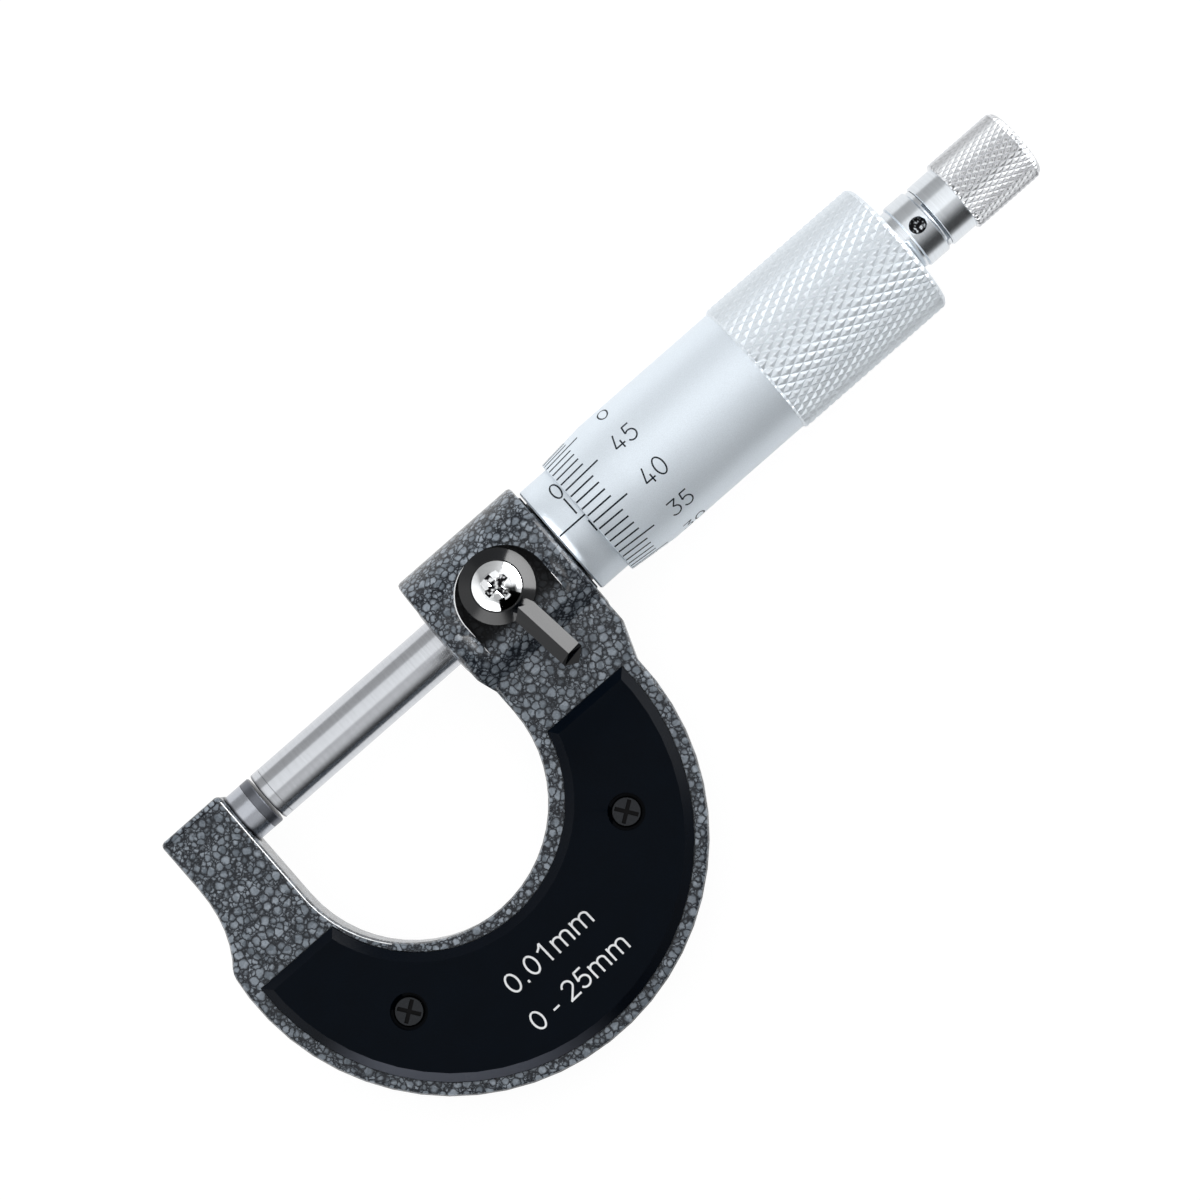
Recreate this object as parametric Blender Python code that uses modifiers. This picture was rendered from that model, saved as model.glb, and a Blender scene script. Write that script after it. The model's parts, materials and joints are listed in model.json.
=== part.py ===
"""Outside micrometer for 0 to 25 mm, with a lever lock and a ratchet stop.

X runs along the spindle's axis, from the anvil to the ratchet. The anvil's measuring face lies
at the origin, the C-shaped frame hangs towards -Y, and +Z is the front. Lengths are in metres.
"""

import math

import bmesh
import bpy
from mathutils import Matrix, Vector

MM = 0.001

# Measuring faces
FACE_DIAMETER = 6.5 * MM
CAPACITY = 25.0 * MM
OPENING = 0.413 * MM
TIP_LENGTH = 1.2 * MM
TIP_CHAMFER = 0.12 * MM

# Clearances
SEAT_GAP = 0.05 * MM
PRESS_GAP = 0.03 * MM
RUNNING_GAP = 0.04 * MM
SLEEVE_FIT = 0.05 * MM
THIMBLE_FIT = 0.15 * MM

# Frame: web and throat
WEB_THICKNESS = 9.5 * MM
EDGE_RADIUS = 0.7 * MM
ANVIL_REACH = 3.6 * MM
THROAT_WIDTH = 32.8 * MM
THROAT_DEPTH = 28.2 * MM
BAND_WIDTH = 20.3 * MM
RIM_RADIUS = 30.4 * MM
RIM_SHIFT = 1.1 * MM
RIM_END_ANGLE = math.radians(2.8)
SHOULDER_DEPTH = 12.0 * MM

# Frame: anvil arm
ARM_WIDTH = 9.0 * MM
ARM_WALL = 0.55 * MM
ARM_CORNER = 0.6 * MM
FLANK_TOP = 3.0 * MM
FLANK_ANGLE = math.radians(171.0)
FLANK_BEND = 0.62
ANVIL_DEPTH = 7.4 * MM
MOUTH_CHAMFER = 0.3 * MM

# Frame: head
HEAD_OVERHANG = 0.75 * MM
HEAD_LENGTH = 17.7 * MM
HEAD_RADIUS = 8.8 * MM
HEAD_DROP = 0.8 * MM
HEAD_EDGE = 0.45 * MM
WEB_INSET = 0.15 * MM
RELIEF_TOP = 6.3 * MM
RELIEF_BOTTOM = 11.0 * MM
RELIEF_WIDTH = 1.45 * MM
BOSS_RADIUS = 6.0 * MM
BOSS_HEIGHT = 0.3 * MM
BOSS_SLOPE = 1.6 * MM
COLLAR_RADIUS = 7.2 * MM
COLLAR_HEIGHT = 0.2 * MM
SPIGOT_LENGTH = 5.15 * MM

# Covers and their screws
COVER_RIM = 1.9 * MM
COVER_DROP = 0.2 * MM
COVER_INNER_RIM = 1.2 * MM
COVER_INNER_SHIFT = 0.7 * MM
COVER_INNER_DROP = 0.5 * MM
COVER_LEFT_END = 16.8 * MM
COVER_RIGHT_END = 16.2 * MM
COVER_THICKNESS = 2.0 * MM
COVER_RECESS = 0.6 * MM
COVER_BEVEL = 1.1 * MM
RECESS_CLEARANCE = 0.1 * MM
SCREW_CIRCLE = 20.9 * MM
SCREW_ANGLES = (math.radians(215.5), math.radians(327.3))
SCREW_HEAD_RADIUS = 1.85 * MM
SCREW_HEAD_HEIGHT = 0.8 * MM
SCREW_SHANK_RADIUS = 1.2 * MM
SCREW_BITE = 2.6 * MM
COUNTERBORE_DEPTH = 1.1 * MM
COUNTERBORE_MARGIN = 0.4 * MM
CROSS_WIDTH = 0.5 * MM
CROSS_DEPTH = 0.45 * MM
CROSS_TURN = math.radians(35.0)

# Lock
LOCK_INSET = 9.05 * MM
LOCK_OFFSET = 0.35 * MM
POCKET_RADIUS = 5.8 * MM
POCKET_DROP = 1.25 * MM
POCKET_DEPTH = 1.7 * MM
HUB_RADIUS = 4.55 * MM
HUB_TOP_RADIUS = 3.15 * MM
HUB_SKIRT = 1.35 * MM
HUB_HEIGHT = 2.6 * MM
HUB_CLEARANCE = 0.25 * MM
HUB_SEAT = 0.5 * MM
LEVER_ANGLE = math.radians(6.5)
LEVER_RISE = math.radians(7.0)
LEVER_START = 3.2 * MM
LEVER_LENGTH = 10.0 * MM
LEVER_WIDTH = 3.1 * MM
LEVER_KEEL = 0.1 * MM
LEVER_SIDE = 0.6 * MM
LEVER_HEIGHT = 1.7 * MM
RIDGE_OFFSET = 0.15 * MM
NOSE_SLOPE = 0.8
NOSE_SWEEP = 0.6
LOCK_SHANK_RADIUS = 1.9 * MM
LOCK_HOLE_GAP = 0.08 * MM
LOCK_HEAD_RADIUS = 2.95 * MM
LOCK_DOME = 1.0 * MM
LOCK_CROSS_WIDTH = 0.75 * MM
LOCK_CROSS_SPAN = 1.6 * MM
PLUG_HEIGHT = 1.6 * MM
PLUG_CLEARANCE = 0.12 * MM

# Guide barrel, sleeve and adjusting nut
BARREL_WALL = 2.71 * MM
SLEEVE_WALL = 1.45 * MM
SLEEVE_START = 0.2 * MM
SLEEVE_SHOWN = 3.84 * MM
SLEEVE_OVERLAP = 7.6 * MM
SLEEVE_CHAMFER = 0.2 * MM
SPANNER_HOLE_RADIUS = 0.75 * MM
SPANNER_HOLE_INSET = 2.0 * MM
NUT_START = 0.3 * MM
NUT_LENGTH = 3.5 * MM
NUT_WALL = 1.1 * MM
NUT_SLOT = 1.0 * MM
BARREL_TAIL = 1.2 * MM
TAPER_START = 1.0 * MM
TAPER_STEP = 0.5 * MM
TAPER_FALL = 0.4 * MM
THREAD_LENGTH = 12.0 * MM
THREAD_DEPTH = 0.1 * MM
SPLIT_WIDTH = 0.5 * MM

# Spindle's hidden end
UNDERCUT = 2.0 * MM
UNDERCUT_DEPTH = 0.45 * MM
SHAFT_MARGIN = 2.4 * MM
CONE_START = 0.8 * MM
CONE_LENGTH = 6.2 * MM
CONE_FALL = 0.4 * MM

# Thimble
REAR_CLEARANCE = 1.6 * MM
REAR_WALL = 9.85 * MM
EDGE_WALL = 0.5 * MM
BEVEL_LENGTH = 6.3 * MM
BEVEL_RISE = 0.6 * MM
GRIP_LENGTH = 22.6 * MM
GRIP_RISE = 0.35 * MM
GRIP_CHAMFER = 0.35 * MM
GRIP_END_RADIUS = 0.8 * MM

# Ratchet stop
STUD_SHANK_RADIUS = 1.6 * MM
STUD_BITE = 7.0 * MM
NECK_RADIUS = 4.1 * MM
NECK_LENGTH = 1.3 * MM
STUD_RADIUS = 4.38 * MM
STUD_LENGTH = 3.2 * MM
STUD_CHAMFER = 0.2 * MM
PIN_HOLE_RADIUS = 0.95 * MM
PIN_HOLE_DEPTH = 2.2 * MM
PIN_HOLE_CHAMFER = 0.2 * MM
GROOVE_RADIUS = 4.05 * MM
GROOVE_WIDTH = 0.55 * MM
STEM_RADIUS = 1.8 * MM
SKIRT_RADIUS = 4.33 * MM
SKIRT_LENGTH = 3.55 * MM
SKIRT_WALL = 0.5 * MM
KNOB_RADIUS = 4.83 * MM
KNOB_LENGTH = 10.15 * MM
KNOB_END_RADIUS = 1.1 * MM
KNOB_WALL = 3.4 * MM
KNOB_FLAT = 0.4 * MM
TOOTH_COUNT = 12
TOOTH_HEIGHT = 0.45 * MM
TOOTH_RAMP = 0.8
TOOTH_WIDTH = 1.1 * MM
TOOTH_GAP = 0.08 * MM
RING_LENGTH = 2.6 * MM
SPRING_WIRE = 0.25 * MM
SPRING_TURNS = 4
END_SCREW_HEAD_RADIUS = 2.5 * MM
END_SCREW_HEAD_LENGTH = 1.4 * MM
END_SCREW_SHANK_RADIUS = 0.95 * MM
END_SCREW_SHANK_LENGTH = 4.5 * MM
END_SCREW_MARGIN = 0.35 * MM
END_SLOT = 0.55 * MM

# Facets
SEGMENTS = 40
SMALL_SEGMENTS = 24
ARC_STEP = math.radians(6.5)
EDGE_STEPS = 4
FLANK_STEPS = 6
SPRING_STEPS = 16
RAMP_STEPS = 3
SHARP_ANGLE = math.radians(30.0)
FLAT_ANGLE = math.radians(0.5)
WELD = 1e-6
OVERSHOOT = 1.0 * MM

# Places that follow from the sizes above
FACE_RADIUS = FACE_DIAMETER / 2
THROAT_LEFT = -ANVIL_REACH
THROAT_RIGHT = THROAT_LEFT + THROAT_WIDTH
THROAT_RADIUS = THROAT_WIDTH / 2
THROAT_X = THROAT_LEFT + THROAT_RADIUS
THROAT_Y = THROAT_RADIUS - THROAT_DEPTH
RIM_X = THROAT_X + RIM_SHIFT
RIM_Y = RIM_RADIUS - THROAT_DEPTH - BAND_WIDTH
HEAD_LEFT = THROAT_RIGHT - HEAD_OVERHANG
HEAD_RIGHT = HEAD_LEFT + HEAD_LENGTH
HALF_WEB = WEB_THICKNESS / 2
BORE_RADIUS = FACE_RADIUS + RUNNING_GAP
BARREL_RADIUS = BORE_RADIUS + BARREL_WALL
SPIGOT_LEFT = HEAD_RIGHT - SPIGOT_LENGTH
SLEEVE_BORE = BARREL_RADIUS + SLEEVE_FIT
SLEEVE_RADIUS = SLEEVE_BORE + SLEEVE_WALL
SLEEVE_LEFT = HEAD_RIGHT + COLLAR_HEIGHT + SLEEVE_START
THIMBLE_LEFT = SLEEVE_LEFT + SLEEVE_SHOWN + OPENING
SLEEVE_RIGHT = SLEEVE_LEFT + SLEEVE_SHOWN + CAPACITY + SLEEVE_OVERLAP
NUT_LEFT = SLEEVE_RIGHT + NUT_START
NUT_RIGHT = NUT_LEFT + NUT_LENGTH
BARREL_RIGHT = NUT_RIGHT + BARREL_TAIL
TAPER_LEFT = SLEEVE_RIGHT - TAPER_START
THREAD_LEFT = BARREL_RIGHT - THREAD_LENGTH
THREAD_RADIUS = FACE_RADIUS - THREAD_DEPTH
SHAFT_RIGHT = THREAD_LEFT - (CAPACITY - OPENING) - SHAFT_MARGIN
THIMBLE_BORE = SLEEVE_RADIUS + THIMBLE_FIT
EDGE_OUTER = THIMBLE_BORE + EDGE_WALL
THIMBLE_RADIUS = EDGE_OUTER + BEVEL_RISE
GRIP_RADIUS = THIMBLE_RADIUS + GRIP_RISE
WALL_LEFT = BARREL_RIGHT + OPENING + REAR_CLEARANCE
THIMBLE_RIGHT = WALL_LEFT + REAR_WALL
GRIP_LEFT = THIMBLE_RIGHT - GRIP_LENGTH
CONE_LEFT = WALL_LEFT + CONE_START
CONE_RIGHT = CONE_LEFT + CONE_LENGTH
LOCK_X = HEAD_LEFT + LOCK_INSET
POCKET_FLOOR = HEAD_RADIUS - POCKET_DEPTH
HUB_BOTTOM = POCKET_FLOOR + HUB_CLEARANCE
HUB_TOP = HUB_BOTTOM + HUB_HEIGHT
PLUG_BOTTOM = FACE_RADIUS + PLUG_CLEARANCE
PLUG_TOP = PLUG_BOTTOM + PLUG_HEIGHT
LOCK_HOLE_RADIUS = LOCK_SHANK_RADIUS + LOCK_HOLE_GAP
STUD_LEFT = THIMBLE_RIGHT + SEAT_GAP
BODY_LEFT = STUD_LEFT + NECK_LENGTH
BODY_RIGHT = BODY_LEFT + STUD_LENGTH
GROOVE_RIGHT = BODY_RIGHT + GROOVE_WIDTH
KNOB_LEFT = GROOVE_RIGHT + SEAT_GAP
KNURL_LEFT = KNOB_LEFT + SKIRT_LENGTH
KNOB_RIGHT = KNURL_LEFT + KNOB_LENGTH
KNOB_BORE = SKIRT_RADIUS - SKIRT_WALL
WALL_RIGHT = KNOB_RIGHT - END_SCREW_HEAD_LENGTH - 2 * END_SCREW_MARGIN
STEM_RIGHT = WALL_RIGHT + SEAT_GAP
RING_RIGHT = GROOVE_RIGHT + TOOTH_HEIGHT + RING_LENGTH
SPRING_RIGHT = WALL_RIGHT - KNOB_WALL
RING_RADIUS = KNOB_BORE - 2 * RUNNING_GAP
RING_BORE = STEM_RADIUS + 2 * RUNNING_GAP
TOOTH_OUTER = RING_RADIUS - KNOB_FLAT

ALONG_X = Matrix.Rotation(math.pi / 2, 4, "Y")
ON_LOCK = Matrix.Translation((LOCK_X, LOCK_OFFSET, 0))


def clear_scene():
    for obj in list(bpy.data.objects):
        bpy.data.objects.remove(obj)


def new_collection(name):
    collection = bpy.data.collections.new(name)
    bpy.context.scene.collection.children.link(collection)
    return collection


def new_object(name, data, collection):
    obj = bpy.data.objects.new(name, data)
    collection.objects.link(obj)
    return obj


def clean(mesh):
    """Welds loose points, joins faces that lie in one plane and marks the sharp edges."""
    bm = bmesh.new()
    bm.from_mesh(mesh)
    bmesh.ops.remove_doubles(bm, verts=bm.verts, dist=WELD)
    bmesh.ops.dissolve_limit(bm, angle_limit=FLAT_ANGLE, verts=bm.verts, edges=bm.edges)
    bm.to_mesh(mesh)
    bm.free()
    mesh.shade_smooth()
    mesh.set_sharp_from_angle(angle=SHARP_ANGLE)


def as_mesh(source, placing):
    """Replaces a curve, or an object with modifiers, by its plain mesh, placed by the matrix."""
    graph = bpy.context.evaluated_depsgraph_get()
    mesh = bpy.data.meshes.new_from_object(source.evaluated_get(graph))
    mesh.transform(placing)
    clean(mesh)
    name = source.name
    collection = source.users_collection[0]
    bpy.data.objects.remove(source)
    return new_object(name, mesh, collection)


def turned(name, profile, collection, placing=ALONG_X, segments=SEGMENTS):
    """A turned solid.

    The profile's (station, radius) pairs run down the outer side, from the largest station to
    the smallest. It either ends on the axis both times, or returns inside as a closed loop.
    """
    points = [(radius, 0.0, station) for station, radius in profile]
    edges = [(i, i + 1) for i in range(len(points) - 1)]
    if profile[0][1] > 0:
        edges.append((len(points) - 1, 0))
    mesh = bpy.data.meshes.new(name)
    mesh.from_pydata(points, edges, [])
    obj = new_object(name, mesh, collection)
    screw = obj.modifiers.new("turn", "SCREW")
    screw.axis = "Z"
    screw.steps = segments
    screw.render_steps = segments
    screw.use_merge_vertices = True
    screw.merge_threshold = WELD
    return as_mesh(obj, placing)


def rod(name, start, end, radius, collection, placing=ALONG_X, segments=SEGMENTS):
    profile = [(end, 0), (end, radius), (start, radius), (start, 0)]
    return turned(name, profile, collection, placing, segments)


def plate(name, outline, bottom, top, collection, placing=Matrix()):
    """A flat outline, listed anticlockwise, with its thickness from bottom to top."""
    curve = bpy.data.curves.new(name, "CURVE")
    curve.dimensions = "2D"
    curve.fill_mode = "BOTH"
    curve.extrude = (top - bottom) / 2
    spline = curve.splines.new("POLY")
    spline.points.add(len(outline) - 1)
    for point, (x, y) in zip(spline.points, outline):
        point.co = (x, y, 0, 1)
    spline.use_cyclic_u = True
    obj = new_object(name, curve, collection)
    bpy.context.view_layer.update()
    return as_mesh(obj, placing @ Matrix.Translation((0, 0, (top + bottom) / 2)))


def block(name, low, high, collection, placing=Matrix()):
    mesh = bpy.data.meshes.new(name)
    bm = bmesh.new()
    bmesh.ops.create_cube(bm, size=1.0)
    bmesh.ops.translate(bm, verts=bm.verts, vec=(0.5, 0.5, 0.5))
    bmesh.ops.scale(bm, verts=bm.verts, vec=Vector(high) - Vector(low))
    bmesh.ops.translate(bm, verts=bm.verts, vec=low)
    bmesh.ops.transform(bm, verts=bm.verts, matrix=placing)
    bm.to_mesh(mesh)
    bm.free()
    return new_object(name, mesh, collection)


def round_edges(obj, chosen, width, segments):
    """Bevels the sharp edges whose two ends both pass the test."""
    bm = bmesh.new()
    bm.from_mesh(obj.data)
    edges = [
        edge
        for edge in bm.edges
        if all(chosen(vert.co) for vert in edge.verts) and edge.calc_face_angle() > SHARP_ANGLE
    ]
    bmesh.ops.bevel(
        bm,
        geom=edges,
        offset=width,
        offset_type="OFFSET",
        segments=segments,
        profile=0.5,
        affect="EDGES",
    )
    bm.to_mesh(obj.data)
    bm.free()
    clean(obj.data)


def combine(obj, other, operation):
    modifier = obj.modifiers.new(other.name, "BOOLEAN")
    modifier.operation = operation
    modifier.solver = "EXACT"
    modifier.object = other


def cut(obj, *tools):
    for tool in tools:
        combine(obj, tool, "DIFFERENCE")


def join(obj, *pieces):
    for piece in pieces:
        combine(obj, piece, "UNION")


def set_origin(obj, place):
    """Moves the object's origin onto its joint's axis, with the solid left where it is."""
    obj.data.transform(Matrix.Translation(-Vector(place)))
    obj.location = place


def arc(centre, radius, start, end, steps=None):
    steps = steps or math.ceil(abs(end - start) / ARC_STEP)
    angles = [start + (end - start) * i / steps for i in range(steps + 1)]
    return [
        (centre[0] + radius * math.cos(a), centre[1] + radius * math.sin(a)) for a in angles
    ]


def bend(start, middle, end, steps):
    """Points of a quadratic curve from start to end, drawn towards the middle point."""
    points = []
    for i in range(steps + 1):
        t = i / steps
        weights = ((1 - t) ** 2, 2 * t * (1 - t), t**2)
        points.append(
            tuple(sum(w * p[k] for w, p in zip(weights, (start, middle, end))) for k in (0, 1))
        )
    return points


def corner(x, y, radius, quadrant):
    """A rounded convex corner of an upright box. Quadrant 0 is its upper right corner."""
    side_x = -1 if quadrant in (0, 3) else 1
    side_y = -1 if quadrant in (0, 1) else 1
    centre = (x + side_x * radius, y + side_y * radius)
    start = quadrant * math.pi / 2
    return arc(centre, radius, start, start + math.pi / 2, EDGE_STEPS)


def material(name, colour, roughness, metallic):
    made = bpy.data.materials.new(name)
    made.use_nodes = True
    shader = made.node_tree.nodes["Principled BSDF"]
    shader.inputs["Base Color"].default_value = (*colour, 1.0)
    shader.inputs["Roughness"].default_value = roughness
    shader.inputs["Metallic"].default_value = metallic
    made.diffuse_color = (*colour, 1.0)
    return made


def paint(obj, made):
    obj.data.materials.clear()
    obj.data.materials.append(made)


# Frame
def frame_outline():
    arm_top = FACE_RADIUS + ARM_WALL
    arm_left = THROAT_LEFT - ARM_WIDTH
    rim_start = (
        RIM_X + RIM_RADIUS * math.cos(FLANK_ANGLE),
        RIM_Y + RIM_RADIUS * math.sin(FLANK_ANGLE),
    )
    bend_y = -FLANK_TOP + FLANK_BEND * (rim_start[1] + FLANK_TOP)
    web_right = HEAD_RIGHT - WEB_INSET
    points = corner(THROAT_LEFT, arm_top, ARM_CORNER, 0)
    points += corner(arm_left, arm_top, ARM_CORNER, 1)
    points += bend((arm_left, -FLANK_TOP), (arm_left, bend_y), rim_start, FLANK_STEPS)[:-1]
    points += arc((RIM_X, RIM_Y), RIM_RADIUS, FLANK_ANGLE, 2 * math.pi + RIM_END_ANGLE)
    points += [(web_right, -SHOULDER_DEPTH), (web_right, 0), (THROAT_RIGHT, 0)]
    points += arc((THROAT_X, THROAT_Y), THROAT_RADIUS, 0, -math.pi)
    return points


def head_outline():
    upper = arc((0, 0), HEAD_RADIUS, 0, math.pi)
    lower = arc((0, -HEAD_DROP), HEAD_RADIUS, math.pi, 2 * math.pi)
    return upper + lower


def relief_outline():
    """The wedge that slopes the head's lower corner towards the throat's wall."""
    left = HEAD_LEFT - OVERSHOOT
    slope_end = (HEAD_LEFT + RELIEF_WIDTH, -RELIEF_BOTTOM)
    return [(left, -RELIEF_TOP), (left, -RELIEF_BOTTOM), slope_end, (HEAD_LEFT, -RELIEF_TOP)]


def pocket_outline():
    """A round end below the lock's axis that opens towards the web."""
    y = LOCK_OFFSET - POCKET_DROP
    round_end = arc((LOCK_X, y), POCKET_RADIUS, 0, math.pi)
    mouth = -HEAD_RADIUS - HEAD_DROP - OVERSHOOT
    return round_end + [(LOCK_X - POCKET_RADIUS, mouth), (LOCK_X + POCKET_RADIUS, mouth)]


def make_frame(parts, tools):
    web = plate("frame", frame_outline(), -HALF_WEB, HALF_WEB, parts)
    round_edges(web, lambda co: abs(abs(co.z) - HALF_WEB) < WELD, EDGE_RADIUS, 2)
    head = plate("head_body", head_outline(), HEAD_LEFT, HEAD_RIGHT, tools, ALONG_X)
    round_edges(
        head,
        lambda co: min(abs(co.x - HEAD_LEFT), abs(co.x - HEAD_RIGHT)) < WELD,
        HEAD_EDGE,
        2,
    )
    reach = HEAD_RADIUS + OVERSHOOT
    cut(head, plate("head_relief", relief_outline(), -reach, reach, tools))
    collar_right = HEAD_RIGHT + COLLAR_HEIGHT
    boss = turned(
        "head_bosses",
        [
            (collar_right, 0),
            (collar_right, COLLAR_RADIUS - COLLAR_HEIGHT),
            (HEAD_RIGHT, COLLAR_RADIUS),
            (HEAD_RIGHT - OVERSHOOT, COLLAR_RADIUS),
            (HEAD_RIGHT - OVERSHOOT, BOSS_RADIUS),
            (HEAD_LEFT, BOSS_RADIUS),
            (HEAD_LEFT - BOSS_HEIGHT, BOSS_RADIUS - BOSS_SLOPE),
            (HEAD_LEFT - BOSS_HEIGHT, 0),
        ],
        tools,
    )
    join(web, head, boss)

    bore_end = collar_right + OVERSHOOT
    bore_start = HEAD_LEFT - BOSS_HEIGHT - OVERSHOOT
    bore = turned(
        "spindle_bore",
        [
            (bore_end, 0),
            (bore_end, BARREL_RADIUS + PRESS_GAP),
            (SPIGOT_LEFT - SEAT_GAP, BARREL_RADIUS + PRESS_GAP),
            (SPIGOT_LEFT - SEAT_GAP, BORE_RADIUS),
            (bore_start, BORE_RADIUS),
            (bore_start, 0),
        ],
        tools,
    )
    anvil_hole_radius = FACE_RADIUS + PRESS_GAP
    anvil_hole_end = THROAT_LEFT - ANVIL_DEPTH - SEAT_GAP
    anvil_hole = turned(
        "anvil_hole",
        [
            (THROAT_LEFT + OVERSHOOT, 0),
            (THROAT_LEFT + OVERSHOOT, anvil_hole_radius + MOUTH_CHAMFER + OVERSHOOT),
            (THROAT_LEFT - MOUTH_CHAMFER, anvil_hole_radius),
            (anvil_hole_end, anvil_hole_radius),
            (anvil_hole_end, 0),
        ],
        tools,
    )
    pocket = plate(
        "lock_pocket", pocket_outline(), POCKET_FLOOR, HEAD_RADIUS + OVERSHOOT, tools
    )
    lock_hole = rod(
        "lock_hole",
        0,
        POCKET_FLOOR + OVERSHOOT,
        LOCK_HOLE_RADIUS,
        tools,
        ON_LOCK,
        SMALL_SEGMENTS,
    )
    cut(web, bore, anvil_hole, pocket, lock_hole)
    for side, end in ((1, "front"), (-1, "back")):
        floor = HALF_WEB - COVER_RECESS
        levels = sorted((side * floor, side * (HALF_WEB + OVERSHOOT)))
        outline = cover_outline(RECESS_CLEARANCE)
        cut(web, plate(f"cover_recess_{end}", outline, *levels, tools))
        for x, y, where in screw_places():
            depth = COVER_RECESS + SCREW_BITE + 2 * SEAT_GAP
            hole = rod(
                f"cover_screw_hole_{end}_{where}",
                HALF_WEB - depth,
                HALF_WEB,
                SCREW_SHANK_RADIUS + SEAT_GAP,
                tools,
                facing(x, y, side),
                SMALL_SEGMENTS,
            )
            cut(web, hole)
    return web


def make_anvil(parts):
    back = THROAT_LEFT - ANVIL_DEPTH
    front = -TIP_LENGTH - SEAT_GAP
    return rod("anvil", back, front, FACE_RADIUS, parts)


def make_tip(name, face, towards, parts):
    """A carbide disc whose measuring face is at the given station and looks along -X or +X."""
    inner_edge = FACE_RADIUS - TIP_CHAMFER
    back = face - towards * TIP_LENGTH
    chamfer = face - towards * TIP_CHAMFER
    profile = [(face, 0), (face, inner_edge), (chamfer, FACE_RADIUS), (back, FACE_RADIUS), (back, 0)]
    if towards < 0:
        profile.reverse()
    return turned(name, profile, parts)


# Covers
def cover_outline(margin=0.0):
    """The crescent of a cover, grown by the margin."""
    outer = RIM_RADIUS - COVER_RIM + margin
    inner = THROAT_RADIUS + COVER_INNER_RIM - margin
    inner_x = THROAT_X + COVER_INNER_SHIFT
    inner_y = THROAT_Y - COVER_INNER_DROP
    left = -COVER_LEFT_END + margin
    right = -COVER_RIGHT_END + margin
    outer_y = RIM_Y - COVER_DROP
    outer_start = math.pi - math.asin((left - outer_y) / outer)
    outer_end = 2 * math.pi + math.asin((right - outer_y) / outer)
    inner_start = math.asin((right - inner_y) / inner)
    inner_end = -math.pi - math.asin((left - inner_y) / inner)
    points = arc((RIM_X, outer_y), outer, outer_start, outer_end)
    return points + arc((inner_x, inner_y), inner, inner_start, inner_end)


def screw_places():
    return [
        (RIM_X + SCREW_CIRCLE * math.cos(a), RIM_Y + SCREW_CIRCLE * math.sin(a), where)
        for a, where in zip(SCREW_ANGLES, ("left", "right"))
    ]


def facing(x, y, side):
    """Places a piece made along +Z at (x, y), looking to the front or, for -1, to the back."""
    turn = Matrix() if side > 0 else Matrix.Rotation(math.pi, 4, "X")
    return Matrix.Translation((x, y, 0)) @ turn


def make_cover(name, side, parts, tools):
    bottom = HALF_WEB - COVER_RECESS + SEAT_GAP
    top = bottom + COVER_THICKNESS
    levels = sorted((side * bottom, side * top))
    cover = plate(name, cover_outline(), *levels, parts)
    round_edges(cover, lambda co: abs(co.z - side * top) < WELD, COVER_BEVEL, 1)
    for x, y, where in screw_places():
        head_floor = top - COUNTERBORE_DEPTH
        wide = SCREW_HEAD_RADIUS + COUNTERBORE_MARGIN
        narrow = SCREW_SHANK_RADIUS + 2 * SEAT_GAP
        hole = turned(
            f"{name}_hole_{where}",
            [
                (top + OVERSHOOT, 0),
                (top + OVERSHOOT, wide),
                (head_floor, wide),
                (head_floor, narrow),
                (bottom - OVERSHOOT, narrow),
                (bottom - OVERSHOOT, 0),
            ],
            tools,
            facing(x, y, side),
            SMALL_SEGMENTS,
        )
        cut(cover, hole)
    return cover


def make_cross(name, top, depth, width, span, tools, placing):
    """Two crossed blocks that cut a screwdriver recess."""
    bottom = top - depth
    across = block(
        f"{name}_across",
        (-span, -width / 2, bottom),
        (span, width / 2, top + OVERSHOOT),
        tools,
        placing,
    )
    along = block(
        f"{name}_along",
        (-width / 2, -span, bottom),
        (width / 2, span, top + OVERSHOOT),
        tools,
        placing,
    )
    return across, along


def make_cover_screw(name, x, y, side, parts, tools):
    cover_top = HALF_WEB - COVER_RECESS + SEAT_GAP + COVER_THICKNESS
    seat = cover_top - COUNTERBORE_DEPTH + SEAT_GAP
    top = seat + SCREW_HEAD_HEIGHT
    end = HALF_WEB - COVER_RECESS - SCREW_BITE
    edge = SCREW_HEAD_HEIGHT / 4
    screw = turned(
        name,
        [
            (top, 0),
            (top, SCREW_HEAD_RADIUS - edge),
            (top - edge, SCREW_HEAD_RADIUS),
            (seat, SCREW_HEAD_RADIUS),
            (seat, SCREW_SHANK_RADIUS),
            (end, SCREW_SHANK_RADIUS),
            (end, 0),
        ],
        parts,
        facing(x, y, side),
        SMALL_SEGMENTS,
    )
    span = SCREW_HEAD_RADIUS - 2 * edge
    turn = Matrix.Rotation(CROSS_TURN, 4, "Z")
    placing = facing(x, y, side) @ turn
    cut(screw, *make_cross(f"{name}_cross", top, CROSS_DEPTH, CROSS_WIDTH, span, tools, placing))
    return screw


# Sleeve group
def taper_radius(x):
    """Outer radius of the barrel's tapered thread at a station."""
    share = (x - TAPER_LEFT) / (BARREL_RIGHT - TAPER_LEFT)
    return BARREL_RADIUS - TAPER_STEP - TAPER_FALL * share


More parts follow.
